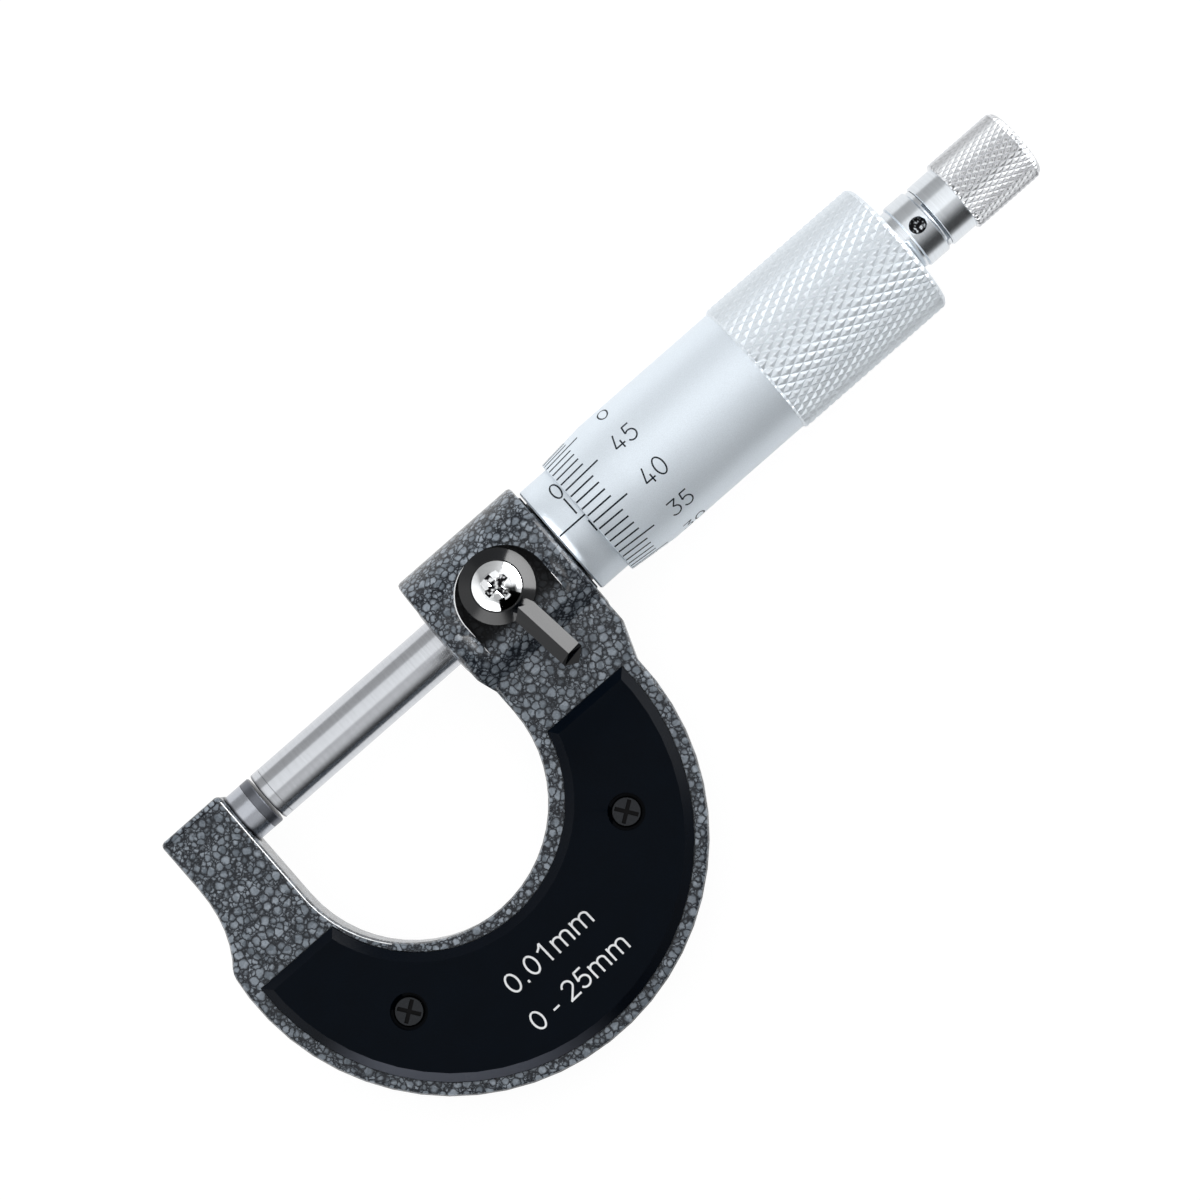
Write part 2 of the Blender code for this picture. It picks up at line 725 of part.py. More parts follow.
def make_barrel(parts, tools):
    nut_bore = THREAD_RADIUS + RUNNING_GAP
    barrel = turned(
        "inner_sleeve",
        [
            (BARREL_RIGHT, taper_radius(BARREL_RIGHT)),
            (TAPER_LEFT, taper_radius(TAPER_LEFT)),
            (TAPER_LEFT, BARREL_RADIUS),
            (SPIGOT_LEFT, BARREL_RADIUS),
            (SPIGOT_LEFT, BORE_RADIUS),
            (THREAD_LEFT, BORE_RADIUS),
            (THREAD_LEFT, nut_bore),
            (BARREL_RIGHT, nut_bore),
        ],
        parts,
    )
    reach = BARREL_RADIUS + OVERSHOOT
    start = THREAD_LEFT + OVERSHOOT
    end = BARREL_RIGHT + OVERSHOOT
    half = SPLIT_WIDTH / 2
    upright = block("barrel_split_y", (start, -reach, -half), (end, reach, half), tools)
    level = block("barrel_split_z", (start, -half, -reach), (end, half, reach), tools)
    cut(barrel, upright, level)
    return barrel


def make_nut(parts, tools):
    """The slotted ring that closes the barrel's split end on the spindle's thread."""
    outer = taper_radius(NUT_LEFT) + NUT_WALL
    nut = turned(
        "adjusting_nut",
        [
            (NUT_RIGHT, outer),
            (NUT_LEFT, outer),
            (NUT_LEFT, taper_radius(NUT_LEFT) + SEAT_GAP),
            (NUT_RIGHT, taper_radius(NUT_RIGHT) + SEAT_GAP),
        ],
        parts,
    )
    half = NUT_SLOT / 2
    low = (NUT_RIGHT - NUT_SLOT, -outer - OVERSHOOT, -half)
    high = (NUT_RIGHT + OVERSHOOT, outer + OVERSHOOT, half)
    cut(nut, block("nut_slot", low, high, tools))
    return nut


def make_sleeve(parts, tools):
    rim = SLEEVE_RADIUS - SLEEVE_CHAMFER
    sleeve = turned(
        "sleeve",
        [
            (SLEEVE_RIGHT, rim),
            (SLEEVE_RIGHT - SLEEVE_CHAMFER, SLEEVE_RADIUS),
            (SLEEVE_LEFT + SLEEVE_CHAMFER, SLEEVE_RADIUS),
            (SLEEVE_LEFT, rim),
            (SLEEVE_LEFT, SLEEVE_BORE),
            (SLEEVE_RIGHT, SLEEVE_BORE),
        ],
        parts,
    )
    x = SLEEVE_LEFT + SPANNER_HOLE_INSET
    spanner_hole = rod(
        "spanner_hole",
        SLEEVE_BORE - OVERSHOOT,
        SLEEVE_RADIUS + OVERSHOOT,
        SPANNER_HOLE_RADIUS,
        tools,
        facing(x, 0, -1),
        SMALL_SEGMENTS,
    )
    cut(sleeve, spanner_hole)
    return sleeve


# Spindle
def make_spindle(parts):
    front = OPENING + TIP_LENGTH + SEAT_GAP
    undercut = FACE_RADIUS - UNDERCUT_DEPTH
    socket = STUD_SHANK_RADIUS + SEAT_GAP
    socket_end = STUD_LEFT - STUD_BITE - 2 * SEAT_GAP
    cone_end = THREAD_RADIUS - CONE_FALL
    return turned(
        "spindle",
        [
            (socket_end, 0),
            (socket_end, socket),
            (CONE_RIGHT, socket),
            (CONE_RIGHT, cone_end),
            (CONE_LEFT, THREAD_RADIUS),
            (SHAFT_RIGHT + UNDERCUT, THREAD_RADIUS),
            (SHAFT_RIGHT + UNDERCUT, undercut),
            (SHAFT_RIGHT, undercut),
            (SHAFT_RIGHT, FACE_RADIUS),
            (front, FACE_RADIUS),
            (front, 0),
        ],
        parts,
    )


# Thimble
def make_thimble(parts):
    cone_start = THREAD_RADIUS + PRESS_GAP
    cone_end = cone_start - CONE_FALL
    rounding = arc(
        (THIMBLE_RIGHT - GRIP_END_RADIUS, GRIP_RADIUS - GRIP_END_RADIUS),
        GRIP_END_RADIUS,
        0,
        math.pi / 2,
        EDGE_STEPS,
    )
    return turned(
        "thimble",
        rounding
        + [
            (GRIP_LEFT + GRIP_CHAMFER, GRIP_RADIUS),
            (GRIP_LEFT, THIMBLE_RADIUS),
            (THIMBLE_LEFT + BEVEL_LENGTH, THIMBLE_RADIUS),
            (THIMBLE_LEFT, EDGE_OUTER),
            (THIMBLE_LEFT, THIMBLE_BORE),
            (WALL_LEFT, THIMBLE_BORE),
            (WALL_LEFT, cone_start),
            (CONE_LEFT, cone_start),
            (CONE_RIGHT, cone_end),
            (THIMBLE_RIGHT, cone_end),
        ],
        parts,
    )


# Ratchet stop
def tooth_ring(name, base, root, inner, outer, collection):
    """A ring with a ramp and a steep flank for each tooth on its right face.

    All edges of the teeth aim at one point on the axis, so that two such rings mesh fully.
    """
    mesh = bpy.data.meshes.new(name)
    bm = bmesh.new()
    stations = []
    for tooth in range(TOOTH_COUNT):
        for i in range(RAMP_STEPS + 1):
            angle = -2 * math.pi * (tooth + TOOTH_RAMP * i / RAMP_STEPS) / TOOTH_COUNT
            rise = TOOTH_HEIGHT / TOOTH_OUTER * i / RAMP_STEPS
            around = (math.cos(angle), math.sin(angle))
            corners = (
                (inner, base),
                (outer, base),
                (outer, root + rise * outer),
                (inner, root + rise * inner),
            )
            stations.append(
                [bm.verts.new((r * around[0], r * around[1], z)) for r, z in corners]
            )
    for here, after in zip(stations, stations[1:] + stations[:1]):
        for k in range(4):
            n = (k + 1) % 4
            bm.faces.new((here[k], after[k], after[n], here[n]))
    bmesh.ops.recalc_face_normals(bm, faces=bm.faces)
    bmesh.ops.transform(bm, verts=bm.verts, matrix=ALONG_X)
    bm.to_mesh(mesh)
    bm.free()
    return new_object(name, mesh, collection)


def make_stud(parts, tools):
    hole = END_SCREW_SHANK_RADIUS + SEAT_GAP
    hole_end = STEM_RIGHT - END_SCREW_SHANK_LENGTH - 2 * SEAT_GAP
    stud = turned(
        "ratchet_stud",
        [
            (hole_end, 0),
            (hole_end, hole),
            (STEM_RIGHT, hole),
            (STEM_RIGHT, STEM_RADIUS),
            (GROOVE_RIGHT, STEM_RADIUS),
            (GROOVE_RIGHT, GROOVE_RADIUS),
            (BODY_RIGHT, GROOVE_RADIUS),
            (BODY_RIGHT, STUD_RADIUS - STUD_CHAMFER),
            (BODY_RIGHT - STUD_CHAMFER, STUD_RADIUS),
            (BODY_LEFT + STUD_CHAMFER, STUD_RADIUS),
            (BODY_LEFT, STUD_RADIUS - STUD_CHAMFER),
            (BODY_LEFT, NECK_RADIUS),
            (STUD_LEFT, NECK_RADIUS),
            (STUD_LEFT, STUD_SHANK_RADIUS),
            (STUD_LEFT - STUD_BITE, STUD_SHANK_RADIUS),
            (STUD_LEFT - STUD_BITE, 0),
        ],
        parts,
    )
    tooth_inner = TOOTH_OUTER - TOOTH_WIDTH
    teeth = tooth_ring("stud_teeth", BODY_RIGHT, GROOVE_RIGHT, tooth_inner, TOOTH_OUTER, tools)
    join(stud, teeth)
    mouth = PIN_HOLE_RADIUS + PIN_HOLE_CHAMFER
    pin_hole = turned(
        "pin_hole",
        [
            (STUD_RADIUS + OVERSHOOT, 0),
            (STUD_RADIUS + OVERSHOOT, mouth + OVERSHOOT),
            (STUD_RADIUS - PIN_HOLE_CHAMFER, PIN_HOLE_RADIUS),
            (STUD_RADIUS - PIN_HOLE_DEPTH, PIN_HOLE_RADIUS),
            (STUD_RADIUS - PIN_HOLE_DEPTH, 0),
        ],
        tools,
        Matrix.Translation(((BODY_LEFT + BODY_RIGHT) / 2, 0, 0)),
        SMALL_SEGMENTS,
    )
    cut(stud, pin_hole)
    return stud


def flatted_outline(radius, flat):
    """A circle with two flats, which keeps one piece from turning in the other."""
    half = math.acos(flat / radius)
    upper = arc((0, 0), radius, half, math.pi - half)
    return upper + [(-x, -y) for x, y in upper]


def make_ring(parts, tools):
    """The toothed ring that the spring holds against the stud's teeth."""
    ring = plate(
        "ratchet_ring",
        flatted_outline(RING_RADIUS, RING_RADIUS - KNOB_FLAT),
        GROOVE_RIGHT + TOOTH_GAP,
        RING_RIGHT,
        parts,
        ALONG_X,
    )
    hole = rod("ring_hole", GROOVE_RIGHT, RING_RIGHT + OVERSHOOT, RING_BORE, tools)
    teeth = tooth_ring(
        "ring_teeth",
        BODY_RIGHT,
        GROOVE_RIGHT + TOOTH_GAP,
        RING_BORE / 2,
        RING_RADIUS + OVERSHOOT,
        tools,
    )
    cut(ring, hole, teeth)
    return ring


def make_spring(parts):
    """A compression spring about the stem, between the ring and the knob's inner wall."""
    start = RING_RIGHT + SEAT_GAP + SPRING_WIRE
    end = SPRING_RIGHT - SEAT_GAP - SPRING_WIRE
    radius = (STEM_RADIUS + RING_RADIUS - KNOB_FLAT) / 2
    curve = bpy.data.curves.new("ratchet_spring", "CURVE")
    curve.dimensions = "3D"
    curve.bevel_depth = SPRING_WIRE
    curve.bevel_resolution = 1
    curve.use_fill_caps = True
    steps = SPRING_STEPS * SPRING_TURNS
    spline = curve.splines.new("POLY")
    spline.points.add(steps)
    for i, point in enumerate(spline.points):
        angle = 2 * math.pi * i / SPRING_STEPS
        x = start + (end - start) * i / steps
        point.co = (x, radius * math.cos(angle), radius * math.sin(angle), 1)
    obj = new_object("ratchet_spring", curve, parts)
    bpy.context.view_layer.update()
    return as_mesh(obj, Matrix())


def make_knob(parts, tools):
    head_bore = END_SCREW_HEAD_RADIUS + END_SCREW_MARGIN
    rounding = arc(
        (KNOB_RIGHT - KNOB_END_RADIUS, KNOB_RADIUS - KNOB_END_RADIUS),
        KNOB_END_RADIUS,
        0,
        math.pi / 2,
        EDGE_STEPS,
    )
    knob = turned(
        "ratchet_knob",
        rounding
        + [
            (KNURL_LEFT, KNOB_RADIUS),
            (KNURL_LEFT, SKIRT_RADIUS),
            (KNOB_LEFT, SKIRT_RADIUS),
            (KNOB_LEFT, STEM_RADIUS + SEAT_GAP),
            (WALL_RIGHT, STEM_RADIUS + SEAT_GAP),
            (WALL_RIGHT, head_bore),
            (KNOB_RIGHT, head_bore),
        ],
        parts,
    )
    room = plate(
        "knob_room",
        flatted_outline(KNOB_BORE, KNOB_BORE - KNOB_FLAT),
        KNOB_LEFT - OVERSHOOT,
        SPRING_RIGHT,
        tools,
        ALONG_X,
    )
    cut(knob, room)
    return knob


def make_end_screw(parts, tools):
    """The slotted screw in the stem's end, which keeps the knob on."""
    seat = STEM_RIGHT + SEAT_GAP
    top = seat + END_SCREW_HEAD_LENGTH
    edge = END_SCREW_HEAD_LENGTH / 4
    screw = turned(
        "ratchet_screw",
        [
            (top, 0),
            (top, END_SCREW_HEAD_RADIUS - edge),
            (top - edge, END_SCREW_HEAD_RADIUS),
            (seat, END_SCREW_HEAD_RADIUS),
            (seat, END_SCREW_SHANK_RADIUS),
            (STEM_RIGHT - END_SCREW_SHANK_LENGTH, END_SCREW_SHANK_RADIUS),
            (STEM_RIGHT - END_SCREW_SHANK_LENGTH, 0),
        ],
        parts,
        ALONG_X,
        SMALL_SEGMENTS,
    )
    reach = END_SCREW_HEAD_RADIUS + OVERSHOOT
    half = END_SLOT / 2
    depth = END_SCREW_HEAD_LENGTH / 2
    slot = block("end_slot", (top - depth, -reach, -half), (top + OVERSHOOT, reach, half), tools)
    cut(screw, slot)
    return screw


# Lock
def make_lever(parts, tools):
    """A conical hub with a blade that rises outwards under a roof-shaped ridge."""
    hole = LOCK_SHANK_RADIUS + SEAT_GAP
    seat_radius = LOCK_HEAD_RADIUS + 2 * SEAT_GAP
    hub = turned(
        "lock_lever",
        [
            (HUB_TOP, seat_radius),
            (HUB_TOP, HUB_TOP_RADIUS),
            (HUB_BOTTOM + HUB_SKIRT, HUB_RADIUS),
            (HUB_BOTTOM, HUB_RADIUS),
            (HUB_BOTTOM, hole),
            (HUB_TOP - HUB_SEAT, hole),
            (HUB_TOP - HUB_SEAT, seat_radius),
        ],
        parts,
        ON_LOCK,
    )
    half = LEVER_WIDTH / 2
    section = [
        (-RIDGE_OFFSET, 0),
        (half, LEVER_KEEL),
        (half, LEVER_SIDE),
        (-RIDGE_OFFSET, LEVER_HEIGHT),
        (-half, LEVER_SIDE),
        (-half, LEVER_KEEL),
    ]
    blade = plate("lever_blade", section, LEVER_START, LEVER_START + LEVER_LENGTH, tools)
    for vert in blade.data.vertices:
        if vert.co.z > LEVER_START + LEVER_LENGTH / 2:
            sweep = NOSE_SWEEP * abs(vert.co.x + RIDGE_OFFSET)
            vert.co.z -= NOSE_SLOPE * vert.co.y + sweep
    across = Vector((math.cos(LEVER_ANGLE), math.sin(LEVER_ANGLE), 0))
    level = Vector((math.sin(LEVER_ANGLE), -math.cos(LEVER_ANGLE), 0))
    outward = level * math.cos(LEVER_RISE) + Vector((0, 0, math.sin(LEVER_RISE)))
    upward = outward.cross(across)
    placing = Matrix((across, upward, outward)).transposed().to_4x4()
    placing.translation = (LOCK_X, LOCK_OFFSET, HUB_BOTTOM + LEVER_SIDE / 4)
    blade.data.transform(placing)
    join(hub, blade)
    set_origin(hub, (LOCK_X, LOCK_OFFSET, 0))
    return hub


def make_lock_screw(parts, tools):
    seat = HUB_TOP - HUB_SEAT + SEAT_GAP
    brim = HUB_TOP
    radius = LOCK_HEAD_RADIUS
    ball = (radius**2 + LOCK_DOME**2) / (2 * LOCK_DOME)
    centre = brim + LOCK_DOME - ball
    start = math.atan2(brim - centre, radius)
    dome = [(z, r) for r, z in arc((0, centre), ball, math.pi / 2, start)]
    dome[0] = (brim + LOCK_DOME, 0)
    screw = turned(
        "lock_screw",
        dome
        + [
            (seat, radius),
            (seat, LOCK_SHANK_RADIUS),
            (PLUG_TOP + SEAT_GAP, LOCK_SHANK_RADIUS),
            (PLUG_TOP + SEAT_GAP, 0),
        ],
        parts,
        ON_LOCK,
    )
    top = brim + LOCK_DOME
    placing = ON_LOCK @ Matrix.Rotation(LEVER_ANGLE, 4, "Z")
    sizes = (LOCK_DOME, LOCK_CROSS_WIDTH, LOCK_CROSS_SPAN)
    cut(screw, *make_cross("lock_cross", top, *sizes, tools, placing))
    set_origin(screw, (LOCK_X, LOCK_OFFSET, 0))
    return screw


def make_plug(parts, tools):
    """The brass plug that the lock's screw presses on the spindle, with a hollow that fits it."""
    plug = rod(
        "lock_plug",
        0,
        PLUG_TOP,
        LOCK_SHANK_RADIUS,
        parts,
        ON_LOCK,
        SMALL_SEGMENTS,
    )
    reach = LOCK_SHANK_RADIUS + OVERSHOOT
    saddle = rod("plug_saddle", LOCK_X - reach, LOCK_X + reach, PLUG_BOTTOM, tools)
    cut(plug, saddle)
    set_origin(plug, (LOCK_X, LOCK_OFFSET, 0))
    return plug


def main():
    clear_scene()
    parts = new_collection("outside_micrometer")
    tools = new_collection("cutters")

    enamel = material("grey_enamel", (0.16, 0.17, 0.19), 0.35, 0.0)
    steel = material("ground_steel", (0.62, 0.61, 0.59), 0.3, 1.0)
    carbide = material("carbide", (0.22, 0.22, 0.24), 0.35, 1.0)
    chrome = material("satin_chrome", (0.78, 0.81, 0.84), 0.3, 1.0)
    bright = material("bright_chrome", (0.85, 0.85, 0.84), 0.06, 1.0)
    black = material("black_plastic", (0.006, 0.008, 0.012), 0.35, 0.0)
    dark = material("blackened_steel", (0.05, 0.05, 0.055), 0.35, 1.0)
    brass = material("brass", (0.72, 0.53, 0.24), 0.35, 1.0)

    paint(make_frame(parts, tools), enamel)
    paint(make_anvil(parts), steel)
    paint(make_tip("anvil_tip", 0.0, 1, parts), carbide)
    for side, end in ((1, "front"), (-1, "back")):
        paint(make_cover(f"cover_{end}", side, parts, tools), black)
        for x, y, where in screw_places():
            name = f"cover_screw_{end}_{where}"
            paint(make_cover_screw(name, x, y, side, parts, tools), dark)

    paint(make_barrel(parts, tools), steel)
    paint(make_nut(parts, tools), steel)
    paint(make_sleeve(parts, tools), chrome)

    paint(make_spindle(parts), steel)
    paint(make_tip("spindle_tip", OPENING, -1, parts), carbide)
    paint(make_thimble(parts), chrome)

    paint(make_stud(parts, tools), bright)
    paint(make_ring(parts, tools), steel)
    paint(make_spring(parts), steel)
    paint(make_knob(parts, tools), bright)
    paint(make_end_screw(parts, tools), steel)

    paint(make_lever(parts, tools), black)
    paint(make_lock_screw(parts, tools), bright)
    paint(make_plug(parts, tools), brass)

    for tool in tools.objects:
        tool.hide_render = True
        tool.display_type = "WIRE"


main()
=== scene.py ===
# %% [markdown]
# # Dressing an outside micrometer
#
# An outside micrometer measures a thickness between two small carbide faces. One face sits in the
# arm of a C-shaped frame, the other on a spindle that a fine screw moves. The solids of all its
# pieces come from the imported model, in metres: X runs along the spindle, +Z is the front.
# In this lesson they get their finishes: hammered enamel, ground steel, satin chrome and black
# plastic. The knurled grips, the graduations, the numerals and the lettering are made here,
# because they are surface detail that the solids leave out.

import json
import math

import bmesh
import bpy
import numpy as np
from mathutils import Matrix, Vector

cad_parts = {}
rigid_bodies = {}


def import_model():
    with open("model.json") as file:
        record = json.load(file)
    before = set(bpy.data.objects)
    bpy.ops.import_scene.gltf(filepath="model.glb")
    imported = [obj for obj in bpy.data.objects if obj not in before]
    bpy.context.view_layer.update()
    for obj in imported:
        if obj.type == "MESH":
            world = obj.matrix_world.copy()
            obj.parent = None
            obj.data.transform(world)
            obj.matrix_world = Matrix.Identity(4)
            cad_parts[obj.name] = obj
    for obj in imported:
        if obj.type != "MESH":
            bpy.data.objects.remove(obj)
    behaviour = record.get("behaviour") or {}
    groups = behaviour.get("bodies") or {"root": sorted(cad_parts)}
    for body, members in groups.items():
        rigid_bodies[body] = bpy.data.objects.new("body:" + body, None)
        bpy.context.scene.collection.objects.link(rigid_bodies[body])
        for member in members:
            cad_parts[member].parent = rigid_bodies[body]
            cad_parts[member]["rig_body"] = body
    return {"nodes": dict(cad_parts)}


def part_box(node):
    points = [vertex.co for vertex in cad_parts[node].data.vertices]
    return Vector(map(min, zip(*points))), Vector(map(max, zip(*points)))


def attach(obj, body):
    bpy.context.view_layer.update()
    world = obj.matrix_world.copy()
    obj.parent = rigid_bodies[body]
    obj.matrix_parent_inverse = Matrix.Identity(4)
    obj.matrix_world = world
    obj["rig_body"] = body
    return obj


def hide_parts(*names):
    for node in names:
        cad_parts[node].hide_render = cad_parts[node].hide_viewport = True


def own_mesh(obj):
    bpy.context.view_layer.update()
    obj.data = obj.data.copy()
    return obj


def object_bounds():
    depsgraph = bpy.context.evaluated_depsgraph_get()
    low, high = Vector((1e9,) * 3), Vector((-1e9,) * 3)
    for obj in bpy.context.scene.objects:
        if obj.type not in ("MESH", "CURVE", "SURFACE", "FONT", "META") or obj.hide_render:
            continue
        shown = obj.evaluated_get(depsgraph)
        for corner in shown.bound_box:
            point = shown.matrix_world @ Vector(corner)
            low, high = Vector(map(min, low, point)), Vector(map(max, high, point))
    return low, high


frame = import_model()
solid_box = [list(corner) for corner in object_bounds()]
nodes = frame["nodes"]
MM = 0.001
print("solids:", len(nodes), "box in mm:", [[round(v / MM, 2) for v in c] for c in solid_box])

# %% [markdown]
# ## The camera
#
# The photograph looks straight down on the front with the spindle's axis turned by 41.2 degrees in
# the picture, and tipped by 2.5 degrees, so that the wall at the bottom of the throat just hides.
# A real lens at about half a metre gives the small difference in scale between near and far.

# %% Camera
TURN_IN_PICTURE = math.radians(41.2)
TIP = math.radians(2.5)
CAMERA_DISTANCE = 0.54
PICTURE_WIDTH = 0.1425
AIM = Vector((45.5, -8.4, 0.0)) * MM


def in_scene(name, data):
    """A new object in the scene, at the origin."""
    obj = bpy.data.objects.new(name, data)
    bpy.context.scene.collection.objects.link(obj)
    return obj


camera_data = bpy.data.cameras.new("camera")
camera_data.sensor_width = 36.0
camera_data.lens = camera_data.sensor_width * CAMERA_DISTANCE / PICTURE_WIDTH
camera_data.clip_start = 0.01
camera = in_scene("camera", camera_data)
facing = Matrix.Rotation(TIP, 4, "X") @ Matrix.Rotation(-TURN_IN_PICTURE, 4, "Z")
back_off = Matrix.Translation((0, 0, CAMERA_DISTANCE))
camera.matrix_world = Matrix.Translation(AIM) @ facing @ back_off
bpy.context.scene.camera = camera
bpy.context.scene.view_settings.view_transform = "Standard"
print("lens in mm:", round(camera_data.lens, 1))

# %% [markdown]
# ## Room, floor and lamps
#
# Bright metal shows what stands around it, so the room matters as much as the metal. The
# photograph has a white tent with one broad lamp above, and a dark side towards the frame's bow:
# that is why each round piece has a pale middle and a dark band low down. The world is white for
# the camera, a grey that darkens towards the bow for matt light, and a band that runs from light
# to dark round the X axis for mirror rays. The floor is mostly glow to the eye and lit paper for
# the rest, so it is pale and keeps the shadow.


# %% Small helpers for nodes
def feed(tree, value, socket):
    """Links a socket to an input, or sets the input's own value."""
    if isinstance(value, bpy.types.NodeSocket):
        tree.links.new(value, socket)
    elif value is not None:
        socket.default_value = value


def add(tree, kind, **values):
    """A node of that kind; names in capitals are its sockets, the rest are its settings."""
    node = tree.nodes.new(kind)
    for name, value in values.items():
        if name[0].isupper():
            feed(tree, value, node.inputs[name.replace("_", " ")])
        else:
            setattr(node, name, value)
    return node


def math_node(tree, operation, first, second=None):
    """Joins one or two sockets or numbers by a sum, and gives its result."""
    node = add(tree, "ShaderNodeMath", operation=operation)
    feed(tree, first, node.inputs[0])
    feed(tree, second, node.inputs[1])
    return node.outputs[0]


def times(tree, first, second):
    """The product of two sockets or numbers."""
    return math_node(tree, "MULTIPLY", first, second)


def vector_node(tree, operation, first, second):
    """Joins two vectors by a sum; to scale a vector, the second is a number."""
    node = add(tree, "ShaderNodeVectorMath", operation=operation)
    feed(tree, first, node.inputs[0])
    feed(tree, second, node.inputs["Scale" if operation == "SCALE" else 1])
    return node.outputs["Value" if operation == "DOT_PRODUCT" else "Vector"]


def soft_step(tree, value, low, high, top=1.0):
    """Rises softly from 0 at low to the top at high; low may be the larger one."""
    node = add(tree, "ShaderNodeMapRange", interpolation_type="SMOOTHSTEP", Value=value)
    for name, number in (("From Min", low), ("From Max", high), ("To Max", top)):
        node.inputs[name].default_value = number
    return node.outputs[0]


def mixed(tree, factor, first, second, blend="MIX"):
    """Mixes two colours, each a socket or an RGB colour, by a factor."""
    node = add(tree, "ShaderNodeMix", data_type="RGBA", blend_type=blend)
    for name, value in (("Factor", factor), ("A", first), ("B", second)):
        feed(tree, (*value, 1) if isinstance(value, tuple) else value, node.inputs[name])
    return node.outputs["Result"]


def ramp(tree, factor, stops):
    """A band of greys or RGB colours, each with its place from 0 to 1."""
    node = add(tree, "ShaderNodeValToRGB")
    band = node.color_ramp
    while len(band.elements) < len(stops):
        band.elements.new(0.5)
    for element, (place, tone) in zip(band.elements, stops):
        element.position = place
        element.color = (*tone, 1) if isinstance(tone, tuple) else (tone, tone, tone, 1)
    tree.links.new(factor, node.inputs[0])
    return node.outputs[0]


def place_of(tree):
    """The place on the piece, in metres."""
    return add(tree, "ShaderNodeTexCoord").outputs["Object"]


def split(tree, vector):
    """The X, Y and Z of a vector."""
    return tuple(add(tree, "ShaderNodeSeparateXYZ", Vector=vector).outputs)


def from_centre(tree, centre):
    """How far the place lies from a centre along X and along Y, and its height z."""
    x, y, z = split(tree, place_of(tree))
    return math_node(tree, "SUBTRACT", x, centre[0]), math_node(tree, "SUBTRACT", y, centre[1]), z


def length(tree, x, y):
    """The length of the flat vector (x, y)."""
    squares = math_node(tree, "ADD", times(tree, x, x), times(tree, y, y))
    return math_node(tree, "SQRT", squares)


def blank_material(name):
    """A material with only its output; gives the material, its tree and the output's socket."""
    made = bpy.data.materials.new(name)
    made.use_nodes = True
    tree = made.node_tree
    tree.nodes.clear()
    return made, tree, add(tree, "ShaderNodeOutputMaterial").inputs["Surface"]


def from_srgb(red, green, blue):
    """The linear colour of three 0 to 255 screen values."""
    part = np.array([red, green, blue]) / 255
    return tuple(np.where(part < 0.04045, part / 12.92, ((part + 0.055) / 1.055) ** 2.4).tolist())


print("helpers ready; mid grey is", from_srgb(128, 128, 128))

# %% World
MATT_LIGHT = 0.7
MATT_SLOPE = 1.15
MATT_LEAST = 0.03
ASKEW = math.radians(118)
END_CARD = 1.5
# Each stop is a direction round X, in degrees from straight up, and the brightness there
ROOM = [(-180, 0.9), (-112, 0.85), (-92, 0.42), (-66, 0.46), (-30, 0.5), (4, 0.6), (22, 0.76)]
ROOM += [(39, 0.76), (50, 0.42), (61, 0.1), (70, 0.03), (104, 0.03), (112, 0.3), (124, 0.85)]
ROOM += [(180, 0.9)]
# Each card is a direction, its half width and soft edge in degrees, and its brightness
CARDS = [
    ((0.985, -0.02, 0.17), 26, 10, 4.0),
    ((0.7, 0.0, 0.7), 24, 8, 1.3),
    ((-0.79, -0.55, 0.26), 25, 8, 3.5),
]

world = bpy.data.worlds.new("tent")
bpy.context.scene.world = world
world.use_nodes = True
tree = world.node_tree
tree.nodes.clear()
direction = add(tree, "ShaderNodeTexCoord").outputs["Generated"]
x, y, z = split(tree, direction)
round_axis = math_node(tree, "ARCTAN2", times(tree, y, -1.0), z)
round_axis = math_node(tree, "ADD", round_axis, times(tree, x, ASKEW))
share = math_node(tree, "ADD", math_node(tree, "DIVIDE", round_axis, 2 * math.pi), 0.5)
band = ramp(tree, share, [(0.5 + angle / 360, tone) for angle, tone in ROOM])
leftward = ramp(tree, times(tree, x, -1.0), [(0.45, 0.0), (0.8, 1.0)])
glossy = mixed(tree, leftward, band, (END_CARD, END_CARD, END_CARD))
for aim, half, soft, brightness in CARDS:
    towards = vector_node(tree, "DOT_PRODUCT", direction, Vector(aim).normalized())
    outer, inner = math.cos(math.radians(half + soft)), math.cos(math.radians(half - soft))
    card = soft_step(tree, towards, outer, inner, brightness)
    glossy = vector_node(tree, "ADD", glossy, card)
sloping = math_node(tree, "ADD", times(tree, y, MATT_SLOPE), 1.0)
matt = math_node(tree, "MAXIMUM", times(tree, sloping, MATT_LIGHT), MATT_LEAST)
rays = add(tree, "ShaderNodeLightPath").outputs
matt_or_mirror = mixed(tree, rays["Is Glossy Ray"], matt, glossy)
seen = mixed(tree, rays["Is Camera Ray"], matt_or_mirror, (1, 1, 1))
background = add(tree, "ShaderNodeBackground", Color=seen)
tree.links.new(background.outputs[0], add(tree, "ShaderNodeOutputWorld").inputs["Surface"])
print("room band stops:", len(ROOM))


# %% Lamps
def lamp(name, width, height, place, aim, brightness):
    """A soft lamp that faces its aim, with its width level along X where it can.

    A lamp's power is its brightness times pi times its area.
    """
    data = bpy.data.lights.new(name, "AREA")
    data.shape = "RECTANGLE"
    data.size = width
    data.size_y = height
    data.energy = brightness * math.pi * width * height
    out = (Vector(place) - Vector(aim)).normalized()
    level = Vector((1, 0, 0)) if abs(out.x) < 0.7 else Vector((0, 1, 0))
    up = out.cross(level).normalized()
    turn = Matrix((up.cross(out), up, out)).transposed().to_4x4()
    in_scene(name, data).matrix_world = Matrix.Translation(Vector(place)) @ turn


lamp("top_lamp", 1.0, 0.85, (0.0, 0.25, 0.85), (0.045, -0.01, 0.0), 0.56)
lamp("right_lamp", 0.35, 0.35, (0.75, 0.0, 0.4), (0.04, 0.0, 0.01), 3.0)

